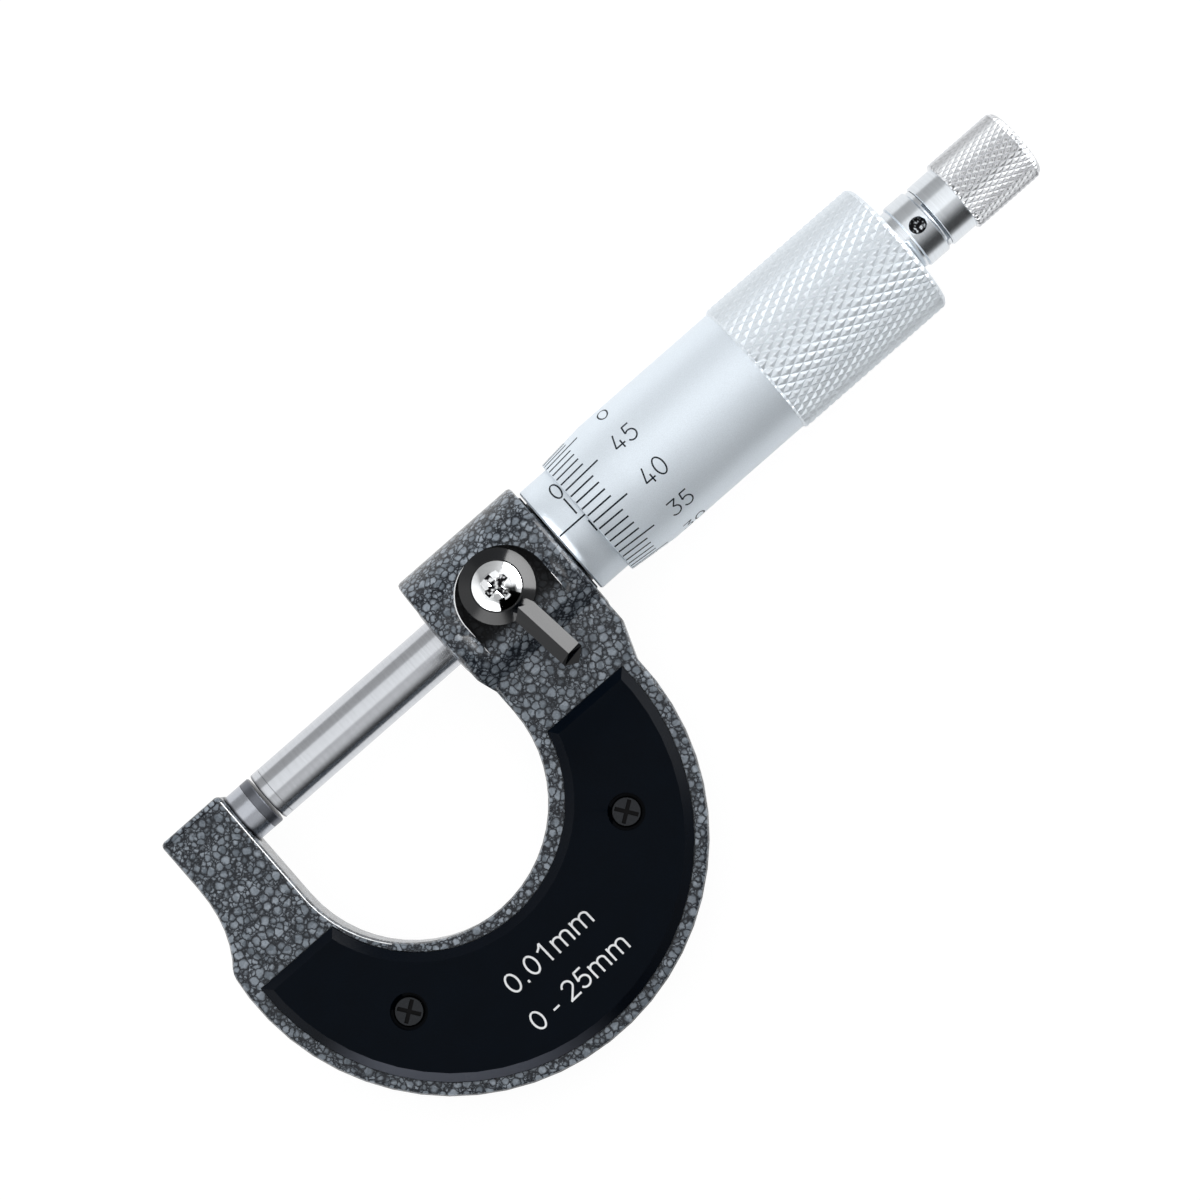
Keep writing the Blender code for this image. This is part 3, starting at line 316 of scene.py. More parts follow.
# %% Floor
FLOOR_HALF = 3.0
PAPER = (0.86, 0.86, 0.86, 1)
GLOW = 1.09
GLOW_SHARE = 0.86
# For mirror rays the floor gets darker between these two places along Y, down to a tenth
DIM_FROM, DIM_TO = -0.03, -0.1
DIMMING = 0.9

floor_height = solid_box[0][2]
corners = np.array([(-1, -1), (1, -1), (1, 1), (-1, 1)]) * FLOOR_HALF
floor_mesh = bpy.data.meshes.new("floor")
floor_mesh.from_pydata([(x, y, floor_height) for x, y in corners], [], [(0, 1, 2, 3)])
floor = in_scene("floor", floor_mesh)

paper, tree, surface = blank_material("pale_paper")
matt = add(tree, "ShaderNodeBsdfDiffuse", Color=PAPER)
rays = add(tree, "ShaderNodeLightPath").outputs
looked_at = math_node(tree, "MAXIMUM", rays["Is Camera Ray"], rays["Is Glossy Ray"])
looked_at = math_node(tree, "MAXIMUM", looked_at, rays["Is Transmission Ray"])
far = soft_step(tree, split(tree, place_of(tree))[1], DIM_FROM, DIM_TO)
dim = times(tree, times(tree, rays["Is Glossy Ray"], far), DIMMING)
strength = times(tree, math_node(tree, "SUBTRACT", 1.0, dim), GLOW)
glow = add(tree, "ShaderNodeEmission", Color=(1, 1, 1, 1), Strength=strength)
both = add(tree, "ShaderNodeMixShader")
tree.links.new(times(tree, looked_at, GLOW_SHARE), both.inputs[0])
tree.links.new(matt.outputs[0], both.inputs[1])
tree.links.new(glow.outputs[0], both.inputs[2])
tree.links.new(both.outputs[0], surface)
floor_mesh.materials.append(paper)
print("floor at z in mm:", round(floor_height / MM, 2))

# %% [markdown]
# ## Cards beside the lock
#
# The lock's domed screw mirrors the whole room in a few millimetres. Two small cards close by give
# it a dark patch, and the hub and the blade their light side.


# %% Cards
def small_card(name, corners, brightness):
    """A flat card that only mirror rays see; it shines on its front side, or is black at 0."""
    mesh = bpy.data.meshes.new(name)
    mesh.from_pydata([tuple(c) for c in np.array(corners) * MM], [], [(0, 1, 2, 3)])
    obj = in_scene(name, mesh)
    obj.visible_camera = False
    obj.visible_diffuse = False
    obj.visible_shadow = False
    made, tree, surface = blank_material(name)
    backfacing = add(tree, "ShaderNodeNewGeometry").outputs["Backfacing"]
    strength = times(tree, math_node(tree, "SUBTRACT", 1.0, backfacing), brightness)
    tree.links.new(add(tree, "ShaderNodeEmission", Strength=strength).outputs[0], surface)
    mesh.materials.append(made)


BLACK = [(26, -16.5, 13.5), (49, -16.5, 13.5), (49, -16.5, 34), (26, -16.5, 34)]
BRIGHT = [(47.5, -9.2, 9.3), (47.5, -9.2, 17), (47.5, 7, 17), (47.5, 7, 9.3)]
small_card("black_card", BLACK, 0.0)
small_card("bright_card", BRIGHT, 12.0)

# %% [markdown]
# ## Shared finishes
#
# Three effects come back in several materials, so each is a node group with named inputs. Tool
# marks are noise stretched round the spindle's axis, as a lathe or a grinding wheel leaves them.
# Blisters are the round grey flecks of hammered enamel with darker paint between them: cells up to
# a millimetre wide, each a soft disc apart from its neighbours. Handling marks are large faint
# clouds that change the gloss a little.


# %% Group helpers
NUMBER = "NodeSocketFloat"
COLOUR = "NodeSocketColor"


def new_group(name, inputs, outputs):
    """An empty shader node group with named sockets; gives the tree and its two end nodes."""
    group = bpy.data.node_groups.new(name, "ShaderNodeTree")
    for title, value in inputs:
        socket = group.interface.new_socket(name=title, in_out="INPUT", socket_type=NUMBER)
        socket.default_value = value
    for title, kind in outputs:
        group.interface.new_socket(name=title, in_out="OUTPUT", socket_type=kind)
    ends = group.nodes.new("NodeGroupInput").outputs, group.nodes.new("NodeGroupOutput").inputs
    return group, *ends


def noise(tree, **values):
    """Cloudy noise by the place on the piece; gives its outputs."""
    return add(tree, "ShaderNodeTexNoise", Vector=place_of(tree), **values).outputs


print("socket kinds:", NUMBER, COLOUR)

# %% Group: tool marks round the axis
tool_marks, given, result = new_group(
    "tool_marks",
    [("Along", 6000.0), ("Around", 150.0), ("Detail", 3.0)],
    [("Height", NUMBER), ("Tone", COLOUR)],
)
across = given["Around"]
stretch = add(tool_marks, "ShaderNodeCombineXYZ", X=given["Along"], Y=across, Z=across)
stretched = vector_node(tool_marks, "MULTIPLY", place_of(tool_marks), stretch.outputs[0])
lines = add(tool_marks, "ShaderNodeTexNoise", Vector=stretched, Scale=1.0, Roughness=0.6)
feed(tool_marks, given["Detail"], lines.inputs["Detail"])
tool_marks.links.new(lines.outputs["Fac"], result["Height"])
lines_tone = ramp(tool_marks, lines.outputs["Fac"], [(0.3, 0.88), (0.7, 1.0)])
tool_marks.links.new(lines_tone, result["Tone"])
print("group:", tool_marks.name)

# %% Group: handling marks
handling, given, result = new_group(
    "handling_marks",
    [("Scale", 60.0), ("Low", 0.25), ("High", 0.35)],
    [("Roughness", NUMBER)],
)
clouds = noise(handling, Scale=given["Scale"], Detail=5.0, Roughness=0.65)["Fac"]
spread = add(handling, "ShaderNodeMapRange", Value=clouds, From_Min=0.3, From_Max=0.7)
feed(handling, given["Low"], spread.inputs["To Min"])
feed(handling, given["High"], spread.inputs["To Max"])
handling.links.new(spread.outputs[0], result["Roughness"])
print("group:", handling.name)

# %% Group: blisters of hammered enamel
FLECK_EDGE = 0.52
blisters, given, result = new_group(
    "blisters",
    [("Scale", 930.0), ("Wobble", 0.0005)],
    [("Disc", NUMBER), ("Height", NUMBER), ("Tone", NUMBER)],
)
bend = noise(blisters, Scale=2100.0, Detail=3.0, Roughness=0.6)["Color"]
bend = vector_node(blisters, "SUBTRACT", bend, (0.5, 0.5, 0.5))
bend = vector_node(blisters, "SCALE", bend, given["Wobble"])
moved = vector_node(blisters, "ADD", place_of(blisters), bend)


def cells(feature, scale):
    """The outputs of a pattern of cells on the bent place."""
    node = add(blisters, "ShaderNodeTexVoronoi", feature=feature, Scale=scale, Randomness=1.0)
    feed(blisters, moved, node.inputs["Vector"])
    return node.outputs


def discs(scale, radius):
    """Round flecks at the cell centres of one size.

    Gives the flecks' mask, a wider mask that keeps smaller flecks off, and each fleck's tone. A
    fleck's own random number makes it larger or smaller.
    """
    edge = cells("DISTANCE_TO_EDGE", scale)["Distance"]
    centre = cells("F1", scale)
    own = add(blisters, "ShaderNodeSeparateColor", Color=centre["Color"]).outputs
    size = math_node(blisters, "ADD", times(blisters, own[1], 0.6), 0.7)
    distance = math_node(blisters, "DIVIDE", centre["Distance"], size)
    apart = soft_step(blisters, edge, 0.0, 0.15)
    fleck = soft_step(blisters, distance, radius, radius * FLECK_EDGE)
    wide = soft_step(blisters, distance, radius * 1.16, radius * 0.95)
    return times(blisters, apart, fleck), wide, own[0]


def outside(mask):
    """1 where a mask is 0."""
    return math_node(blisters, "SUBTRACT", 1.0, mask)


large, large_wide, large_tone = discs(given["Scale"], 0.6)
middle, middle_wide, middle_tone = discs(times(blisters, given["Scale"], 1.7), 0.62)
small = discs(times(blisters, given["Scale"], 3.0), 0.6)[0]
free = outside(large_wide)
middle = times(blisters, middle, free)
free = times(blisters, free, outside(middle_wide))
small = times(blisters, times(blisters, small, free), 0.75)
every = math_node(blisters, "MAXIMUM", large, math_node(blisters, "MAXIMUM", middle, small))
both_tones = math_node(blisters, "ADD", large_tone, middle_tone)
blisters.links.new(every, result["Disc"])
blisters.links.new(math_node(blisters, "POWER", every, 0.7), result["Height"])
blisters.links.new(times(blisters, both_tones, 0.5), result["Tone"])
print("group:", blisters.name)


# %% Material helpers
def new_material(name, **sockets):
    """A material with one Principled shader; capitals name its sockets."""
    made, tree, surface = blank_material(name)
    shader = add(tree, "ShaderNodeBsdfPrincipled", **sockets)
    tree.links.new(shader.outputs[0], surface)
    return made, tree, shader


def use_group(tree, group, **values):
    """Places a group in a material with its own input values."""
    return add(tree, "ShaderNodeGroup", node_tree=group, **values).outputs


def bump(tree, shader, height, distance, strength=1.0):
    """Lets a height change the shading normal."""
    node = add(tree, "ShaderNodeBump", Strength=strength, Distance=distance, Height=height)
    tree.links.new(node.outputs[0], shader.inputs["Normal"])


def complete(tree, shader, tone, rough, height, depth):
    """Gives a shader its colour, a gloss that handling has made uneven, and a fine relief."""
    tree.links.new(tone, shader.inputs["Base Color"])
    gloss = use_group(tree, handling, Low=rough[0], High=rough[1])
    tree.links.new(gloss["Roughness"], shader.inputs["Roughness"])
    bump(tree, shader, height, depth)


print("material helpers ready")

# %% Where the lock sits
LOCK_X = 37.5 * MM
LOCK_Y = 0.35 * MM
POCKET = 5.86 * MM
POCKET_Y = LOCK_Y - 1.25 * MM
POCKET_FLOOR = 6.9 * MM
POCKET_FADE = (-5.2 * MM, -3.2 * MM)


def in_recess(tree, centre, radius, bottom, top):
    """1 in a recess: inside an upright cylinder and between two heights."""
    x, y, z = from_centre(tree, centre)
    inside = math_node(tree, "LESS_THAN", length(tree, x, y), radius)
    above = math_node(tree, "GREATER_THAN", z, bottom)
    below = math_node(tree, "LESS_THAN", z, top)
    return times(tree, inside, times(tree, above, below))


def in_pocket(tree):
    """Mask for the pocket's painted shade: 1 in the lock's pocket, a half circle above, straight
    sides below, fading out downwards.
    """
    x, y, z = from_centre(tree, (LOCK_X, POCKET_Y))
    upward = math_node(tree, "MAXIMUM", y, 0.0)
    inside = math_node(tree, "LESS_THAN", length(tree, x, upward), POCKET)
    above = math_node(tree, "GREATER_THAN", z, POCKET_FLOOR)
    fade = soft_step(tree, y, *(place - POCKET_Y for place in POCKET_FADE))
    return times(tree, times(tree, inside, above), fade)


print("lock axis in mm:", LOCK_X / MM, LOCK_Y / MM)

# %% Enamel
PAINT = from_srgb(14, 20, 28)
FLECKS = [(0.15, from_srgb(96, 105, 114)), (0.85, from_srgb(152, 161, 171))]
# Painted shade: the pocket's walls and floor are painted near black, where light hardly reaches
POCKET_SHADE = from_srgb(4, 5, 7)

enamel, tree, shader = new_material(
    "hammered_enamel", Roughness=0.5, Specular_IOR_Level=0.1, Coat_Roughness=0.2, Coat_IOR=1.33
)
flecks = use_group(tree, blisters)
mottle = ramp(tree, noise(tree, Scale=3800.0, Detail=2.0)["Fac"], [(0.35, 0.78), (0.65, 1.0)])
fleck_tone = ramp(tree, flecks["Tone"], FLECKS)
paint = mixed(tree, times(tree, flecks["Disc"], mottle), PAINT, fleck_tone)
# Painted shade in the lock's pocket: near black paint, and less coat to mirror the room
pocket = in_pocket(tree)
paint = mixed(tree, times(tree, pocket, 0.95), paint, POCKET_SHADE)
coat = math_node(tree, "SUBTRACT", 0.9, times(tree, pocket, 0.8))
tree.links.new(paint, shader.inputs["Base Color"])
tree.links.new(coat, shader.inputs["Coat Weight"])
bump(tree, shader, flecks["Height"], 0.00005, 0.8)
print("material:", enamel.name)

# %% Metals
# Painted shade for recesses: near black, with specks where the metal's own tone shows
RECESS_SHADE = from_srgb(20, 20, 22)
# Painted shadow line where two pieces meet
SHADE = from_srgb(34, 36, 40)


def between_x(tree, low, high, soft):
    """1 where x lies between two places, with soft ends."""
    x = split(tree, place_of(tree))[0]
    rising = soft_step(tree, x, low - soft, low + soft)
    return times(tree, rising, soft_step(tree, x, high + soft, high - soft))


def metal(name, colour, rough, marks, depth, metallic=1.0, recess=None, ring=None):
    """A metal with tool marks in colour and height, and a gloss that handling has changed.

    Satin plating scatters part of the light, so it gets less than full metal. A recess is painted
    near black as shade, but for some specks where the metal shows; a ring between two places along
    X gets a painted shadow line.
    """
    made, tree, shader = new_material(name, Metallic=metallic)
    grain = use_group(tree, tool_marks, **marks)
    tone = mixed(tree, 1.0, grain["Tone"], colour, "MULTIPLY")
    if recess:
        # Painted shade in the recess, broken by specks where the metal shows
        specks = noise(tree, Scale=1900.0, Detail=2.0)["Fac"]
        recess_shading = ramp(tree, specks, [(0.5, 1.0), (0.64, 0.1)])
        tone = mixed(tree, times(tree, in_recess(tree, *recess), recess_shading), tone, RECESS_SHADE)
    # Painted shadow line round the piece between two places along X
    if ring:
        tone = mixed(tree, times(tree, between_x(tree, *ring), 0.9), tone, SHADE)
    complete(tree, shader, tone, rough, grain["Height"], depth)
    return made


STEEL = from_srgb(210, 213, 218)
SATIN = from_srgb(230, 239, 247)
STUD = from_srgb(226, 231, 236)
DOME = from_srgb(236, 238, 240)
ROUND_MARKS = {"Along": 9000.0, "Around": 250.0}
EVEN_MARKS = {"Along": 9000.0, "Around": 9000.0}
STUD_MARKS = {"Along": 8000.0, "Around": 60.0}
DOME_MARKS = {"Along": 900.0, "Around": 900.0}
# The stud's hole and the lock screw's cross recess get painted shade
STUD_HOLE = ((102.8 * MM, 0.0), 0.95 * MM, 1.5 * MM, 3.6 * MM)
LOCK_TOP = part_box("lock_screw")[1].z
LOCK_CROSS = ((LOCK_X, LOCK_Y), 1.75 * MM, LOCK_TOP - 1.2 * MM, LOCK_TOP - 0.3 * MM)
ARM_FACE = -3.6 * MM
TIP_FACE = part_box("spindle_tip")[0].x
# Painted shadow lines: where the anvil leaves the arm, and beside the spindle tip's face
ANVIL_SHADE_RING = (ARM_FACE - 0.2 * MM, ARM_FACE + 0.25 * MM, 0.15 * MM)
TIP_SHADE_RING = (TIP_FACE - 0.2 * MM, TIP_FACE + 0.2 * MM, 0.2 * MM)

ground_steel = metal("ground_steel", STEEL, (0.17, 0.22), ROUND_MARKS, 2e-6)
anvil_steel = metal(
    "anvil_steel", from_srgb(190, 194, 202), (0.2, 0.25), EVEN_MARKS, 8e-6, ring=ANVIL_SHADE_RING
)
carbide = metal("carbide", from_srgb(112, 115, 122), (0.3, 0.36), EVEN_MARKS, 3e-6)
tip_carbide = metal("tip_carbide", STEEL, (0.17, 0.22), ROUND_MARKS, 2e-6, ring=TIP_SHADE_RING)
satin = metal("satin_chrome", SATIN, (0.42, 0.48), EVEN_MARKS, 3e-6, 0.5)
knurled = metal(
    "knurled_chrome", from_srgb(228, 235, 241), (0.34, 0.4), EVEN_MARKS, 3e-6, 0.55
)
cap_chrome = metal("cap_chrome", from_srgb(226, 228, 231), (0.2, 0.26), EVEN_MARKS, 2e-6, 0.85)
bright = metal("bright_chrome", STUD, (0.2, 0.26), STUD_MARKS, 1e-6, recess=STUD_HOLE)
mirror = metal("mirror_chrome", DOME, (0.05, 0.08), DOME_MARKS, 4e-7, recess=LOCK_CROSS)
brass = metal("brass", from_srgb(214, 178, 96), (0.25, 0.32), ROUND_MARKS, 2e-6)
print("metals: 10")

# %% Blackened screws
SCREW_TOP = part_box("cover_screw_front_left")[1].z
SLOT_TOP = SCREW_TOP - 0.06 * MM

blackened, tree, shader = new_material("blackened_steel", Metallic=0.8)
grain = use_group(tree, tool_marks, Along=2500.0, Around=2500.0)
# Painted shade: all of a screw more than 0.06 mm below its head's top, the cross recess with it, is
# near black
height = math_node(tree, "ABSOLUTE", split(tree, place_of(tree))[2])
slot_shade = math_node(tree, "LESS_THAN", height, SLOT_TOP)
tone = mixed(tree, 1.0, grain["Tone"], from_srgb(40, 42, 45), "MULTIPLY")
tone = mixed(tree, slot_shade, tone, from_srgb(2, 2, 3))
complete(tree, shader, tone, (0.3, 0.4), grain["Height"], 6e-6)
print("screw head top in mm:", round(SCREW_TOP / MM, 3))

# %% Plastics and ink
BOW_CENTRE = (13.9 * MM, -18.1 * MM)
BOW_INSIDE = 25 * MM
# A painted reflection: the grey that the cover's outer bevel shows low on the left
PAINTED_BEVEL_SHEEN = from_srgb(84, 88, 98)


def rubbed(tree):
    """Where the bevel's painted reflection goes: 1 on the cover's outer edge low on the left,
    between two directions from the bow's centre.
    """
    x, y, _ = from_centre(tree, BOW_CENTRE)
    angle = math_node(tree, "ARCTAN2", y, x)
    outer = math_node(tree, "GREATER_THAN", length(tree, x, y), BOW_INSIDE)
    for start, stop in ((-165, -145), (-85, -115)):
        end = soft_step(tree, angle, math.radians(start), math.radians(stop))
        outer = times(tree, outer, end)
    return outer


def plastic(name, colour, rough, specular, grain_scale, depth, sheen_mask=None):
    """Moulded plastic: one colour, a very fine mould grain, and uneven gloss.

    Where the sheen mask is 1, the edge is painted grey as a reflection of the bright room.
    """
    made, tree, shader = new_material(name, Specular_IOR_Level=specular)
    tone = ramp(tree, noise(tree, Scale=300.0, Detail=4.0)["Fac"], [(0.3, 0.8), (0.7, 1.0)])
    tone = mixed(tree, 1.0, tone, colour, "MULTIPLY")
    if sheen_mask:
        # Painted reflection on the cover's bevel
        tone = mixed(tree, sheen_mask(tree), tone, PAINTED_BEVEL_SHEEN)
    grain = use_group(tree, tool_marks, Along=grain_scale, Around=grain_scale)
    complete(tree, shader, tone, rough, grain["Height"], depth)
    return made


cover_plastic = plastic("cover_plastic", from_srgb(2, 8, 17), (0.3, 0.36), 0.05, 5000.0, 4e-6)
cover_edge = plastic(
    "cover_edge", from_srgb(4, 10, 19), (0.24, 0.3), 0.06, 5000.0, 3e-6, rubbed
)
lever_plastic = plastic("lever_plastic", from_srgb(3, 6, 11), (0.16, 0.2), 0.3, 3000.0, 1e-6)
white_ink = plastic("white_ink", from_srgb(236, 238, 240), (0.5, 0.6), 0.3, 9000.0, 2e-6)
dark_ink = plastic("dark_ink", from_srgb(34, 41, 50), (0.5, 0.6), 0.2, 9000.0, 2e-6)
# A painted highlight: near white, for the bright lines along the pocket's rim and the throat's edge
painted_edge_highlight = metal("painted_edge_highlight", from_srgb(240, 242, 244), (0.45, 0.5), EVEN_MARKS, 2e-6, 0.3)
print("plastics and inks: 5")

# %% [markdown]
# ## Smooth shading for the turned and moulded solids
#
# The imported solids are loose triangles, which would show every facet. Each is copied, its equal
# corners are merged, and edges sharper than 30 degrees stay crisp while the rest shade as one
# round surface. The shape stays exactly the same, and the copy stands for the solid.


# %% Dress a solid
MERGED = 0.5e-6
FLAT = math.radians(0.2)
SHARP = math.radians(30)


def dressed(node, material):
    """A merged copy of a solid with smooth shading, which replaces it on its own body.

    Large faces pull the shading normal more than small ones, so flats stay flat beside a bend.
    """
    source = nodes[node]
    mesh = source.data.copy()
    piece = in_scene(node + "_finish", mesh)
    work = bmesh.new()
    work.from_mesh(mesh)
    bmesh.ops.remove_doubles(work, verts=work.verts, dist=MERGED)
    bmesh.ops.dissolve_limit(work, angle_limit=FLAT, verts=work.verts, edges=work.edges)
    work.to_mesh(mesh)
    work.free()
    mesh.shade_smooth()
    mesh.set_sharp_from_angle(angle=SHARP)
    mesh.materials.clear()
    mesh.materials.append(material)
    weighted = piece.modifiers.new("weighted", "WEIGHTED_NORMAL")
    weighted.keep_sharp = True
    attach(piece, source["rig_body"])
    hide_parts(node)
    return piece


def second_finish(piece, material, chosen):
    """Gives a second material to the faces that the test picks by normal and centre."""
    mesh = piece.data
    mesh.materials.append(material)
    normals, centres = np.zeros((2, len(mesh.polygons) * 3))
    mesh.polygons.foreach_get("normal", normals)
    mesh.polygons.foreach_get("center", centres)
    picked = chosen(normals.reshape(-1, 3), centres.reshape(-1, 3))
    mesh.polygons.foreach_set("material_index", picked.astype(int))
    mesh.update()
    return int(picked.sum())


FINISHES = {
    "frame": enamel,
    "anvil": anvil_steel,
    "anvil_tip": carbide,
    "cover_front": cover_plastic,
    "cover_back": cover_plastic,
    "cover_screw_front_left": blackened,
    "cover_screw_front_right": blackened,
    "cover_screw_back_left": blackened,
    "cover_screw_back_right": blackened,
    "sleeve": satin,
    # The inner sleeve takes the screws' near black finish as painted shade in the gap beside the
    # sleeve
    "inner_sleeve": blackened,
    "adjusting_nut": satin,
    "spindle": ground_steel,
    "spindle_tip": tip_carbide,
    "ratchet_stud": bright,
    "ratchet_screw": bright,
    "ratchet_ring": ground_steel,
    "ratchet_spring": ground_steel,
    "lock_lever": lever_plastic,
    "lock_screw": mirror,
    "lock_plug": brass,
}
finished = {node: dressed(node, finish) for node, finish in FINISHES.items()}
for side in ("cover_front", "cover_back"):
    bevels = second_finish(finished[side], cover_edge, lambda normal, _: abs(normal[:, 2]) < 0.9)
    print(side, "bevel faces:", bevels)
print("dressed solids:", len(finished))

# %% [markdown]
# ## Room for the lock's hub
#
# The hub turns in its pocket with a hundredth of a millimetre to spare, less than the facets need.
# Its lower edge is hidden in the pocket, so it is drawn in a little.

# %% Hub
FOOT_TOP = 7.5 * MM
HUB = 4.55 * MM
HUB_ROOM = 0.14 * MM
BLADE_SHARP = math.radians(12)


def narrowed_foot(mesh):
    """Draws the hub's lower edge towards the lock's axis, so that it turns free of the pocket."""
    points = np.zeros(len(mesh.vertices) * 3)
    mesh.vertices.foreach_get("co", points)
    points = points.reshape(-1, 3)
    flat = points[:, :2] - (LOCK_X, LOCK_Y)
    reach = np.linalg.norm(flat, axis=1)
    low = (points[:, 2] < FOOT_TOP) & (np.abs(reach - HUB) < 0.1 * MM)
    points[low, :2] -= flat[low] / reach[low, None] * HUB_ROOM
    mesh.vertices.foreach_set("co", points.ravel())
    mesh.update()
    return int(low.sum())


lever_mesh = finished["lock_lever"].data
print("hub points moved:", narrowed_foot(lever_mesh))
lever_mesh.set_sharp_from_angle(angle=BLADE_SHARP)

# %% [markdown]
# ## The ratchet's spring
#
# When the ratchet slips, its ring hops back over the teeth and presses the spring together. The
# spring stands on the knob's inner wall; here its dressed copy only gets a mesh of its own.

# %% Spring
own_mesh(finished["ratchet_spring"])

# %% [markdown]
# ## The knurled grips
#
# A knurling wheel presses two families of slanting grooves into the metal, and what stays up
# between them are small pyramids. On the unrolled surface let s count half pitches round and t
# count half pitches along. The grooves then lie where (s + t) / 2 and (s - t) / 2 are whole
# numbers. The height of a point is its distance from the nearer groove, cut off at a small flat.
# The whole outline is turned round the axis in one grid, and only the grip's rows are lowered.


# %% Turned surface with a knurl
# Grid cells to half a pitch of the knurl, and the bend that stays crisp
CELLS = 4
KNURL_SHARP = math.radians(24)
FADE_LEFT, FADE_RIGHT = 0.1 * MM, 0.25 * MM


def put_mesh(name, points, faces, material, body, smooth=True):
    """A piece at the origin from an array of points and faces."""
    mesh = bpy.data.meshes.new(name)
    mesh.from_pydata(points.reshape(-1, 3).tolist(), [], [list(map(int, f)) for f in faces])
    mesh.polygons.foreach_set("use_smooth", np.full(len(mesh.polygons), smooth))
    mesh.materials.append(material)
    mesh.update()
    piece = in_scene(name, mesh)
    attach(piece, body)
    return piece


def knurl_depth(s, t, depth, flat):
    """How far a point lies below the tips: 0 on a tip's flat, depth in a groove.

    Each slanting coordinate's distance from the nearest whole number grows from 0 in the groove
    to 1 halfway; the smaller of the two is the height.
    """
    slants = (s + t) / 2, (s - t) / 2
    height = np.minimum(*(2 * np.abs(slant - np.round(slant)) for slant in slants))
    return depth * (1 - np.minimum(1, height / (1 - flat)))


def knurled_round(name, before, grip, after, starts, angle, depth, flat, material, body):
    """Turns an outline of (x, radius) pairs; the grip's own pairs are resampled and knurled.

    A point of row x and column v is (x, r cos v, r sin v), with r the outline's radius less the
    knurl's depth at s = starts v / pi and t = x / half pitch.
    """
    columns = starts * 2 * CELLS
    grip = np.array(grip)
    half_pitch = math.pi * grip[:, 1].max() / starts / math.tan(angle)
    step = half_pitch / CELLS
    rows = np.arange(math.ceil(grip[0, 0] / step), math.floor(grip[-1, 0] / step) + 1)
    along = rows * step
    radius = np.interp(along, grip[:, 0], grip[:, 1])
    v = np.arange(columns) * 2 * math.pi / columns
    fade = np.clip((grip[-1, 0] - along) / FADE_RIGHT, 0, 1)
    fade = fade * np.clip((along - grip[0, 0]) / FADE_LEFT, 0, 1)
    sunk = knurl_depth(starts * v[None, :] / math.pi, rows[:, None] / CELLS, depth, flat)
    sunk = sunk * fade[:, None]
    before, after = np.array(before, float), np.array(after, float)
    plain_before, plain_after = (np.repeat(side[:, 1:2], columns, 1) for side in (before, after))
    x = np.concatenate([before[:, 0], along, after[:, 0]])
    r = np.concatenate([plain_before, radius[:, None] - sunk, plain_after])
    points = np.stack([np.repeat(x[:, None], columns, 1), r * np.cos(v), r * np.sin(v)], -1)
    count = len(x)
    i, j = np.meshgrid(np.arange(count), np.arange(columns), indexing="ij")
    a = i * columns + j
    b = i * columns + (j + 1) % columns
    c = ((i + 1) % count) * columns + (j + 1) % columns
    d = ((i + 1) % count) * columns + j
    first = len(before)
    unit_t = np.floor_divide(rows[0] + (i - first), CELLS)
    unit_s = np.floor_divide(j, CELLS)
    even = ((unit_s + unit_t) % 2 == 0)[..., None]
    in_grip = (i >= first) & (i < first + len(rows) - 1)
    one = np.where(even, np.stack([a, b, c], -1), np.stack([a, b, d], -1))[in_grip]
    two = np.where(even, np.stack([a, c, d], -1), np.stack([b, c, d], -1))[in_grip]
    quads = np.stack([a, b, c, d], -1)[~in_grip]
    faces = [*one[:, ::-1].tolist(), *two[:, ::-1].tolist(), *quads[:, ::-1].tolist()]
    piece = put_mesh(name, points, faces, material, body)
    piece.data.set_sharp_from_angle(angle=KNURL_SHARP)
    print(name, "rows", count, "columns", columns, "half pitch", round(half_pitch / MM, 3))
    return piece


# %% Thimble
THIMBLE_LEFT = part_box("thimble")[0].x
THIMBLE_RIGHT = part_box("thimble")[1].x
BARREL = 8.75 * MM
GRIP = 9.1 * MM
BORE = 7.65 * MM
FRONT_EDGE = 8.15 * MM
GRIP_LEFT = THIMBLE_RIGHT - 22.6 * MM
BEVEL_END = THIMBLE_LEFT + 6.3 * MM


def corner(x, r, radius, steps=6):
    """The outline of a rounded right end: a quarter circle from the outer side to the end face."""
    angle = np.linspace(math.pi / 2, 0, steps)
    return [(x - radius + radius * math.cos(a), r - radius + radius * math.sin(a)) for a in angle]


wall = THIMBLE_RIGHT - 9.85 * MM
cone = [(THIMBLE_RIGHT - 2.85 * MM, 2.88 * MM), (wall + 0.8 * MM, 3.28 * MM), (wall, 3.28 * MM)]
bore = [(THIMBLE_RIGHT, 2.88 * MM), *cone, (wall, BORE), (THIMBLE_LEFT, BORE)]
outer = [
    (THIMBLE_LEFT, FRONT_EDGE - 0.08 * MM),
    (THIMBLE_LEFT + 0.08 * MM, FRONT_EDGE),
    (BEVEL_END, BARREL),
    (BEVEL_END + 0.2 * MM, BARREL),
    (GRIP_LEFT - 0.2 * MM, BARREL),
    (GRIP_LEFT, BARREL),
]
end = corner(THIMBLE_RIGHT, GRIP, 0.8 * MM)
thimble = knurled_round(
    "thimble_knurled",
    outer,
    [(GRIP_LEFT + 0.02 * MM, BARREL), (GRIP_LEFT + 0.35 * MM, GRIP), *end[:4]],
    [*end[4:], *bore],
    starts=46,
    angle=math.radians(31),
    depth=0.24 * MM,
    flat=0.2,
    material=knurled,
    body="thimble",
)
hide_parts("thimble")
count = second_finish(thimble, satin, lambda normal, centre: centre[:, 0] < GRIP_LEFT)
print("barrel faces:", count)

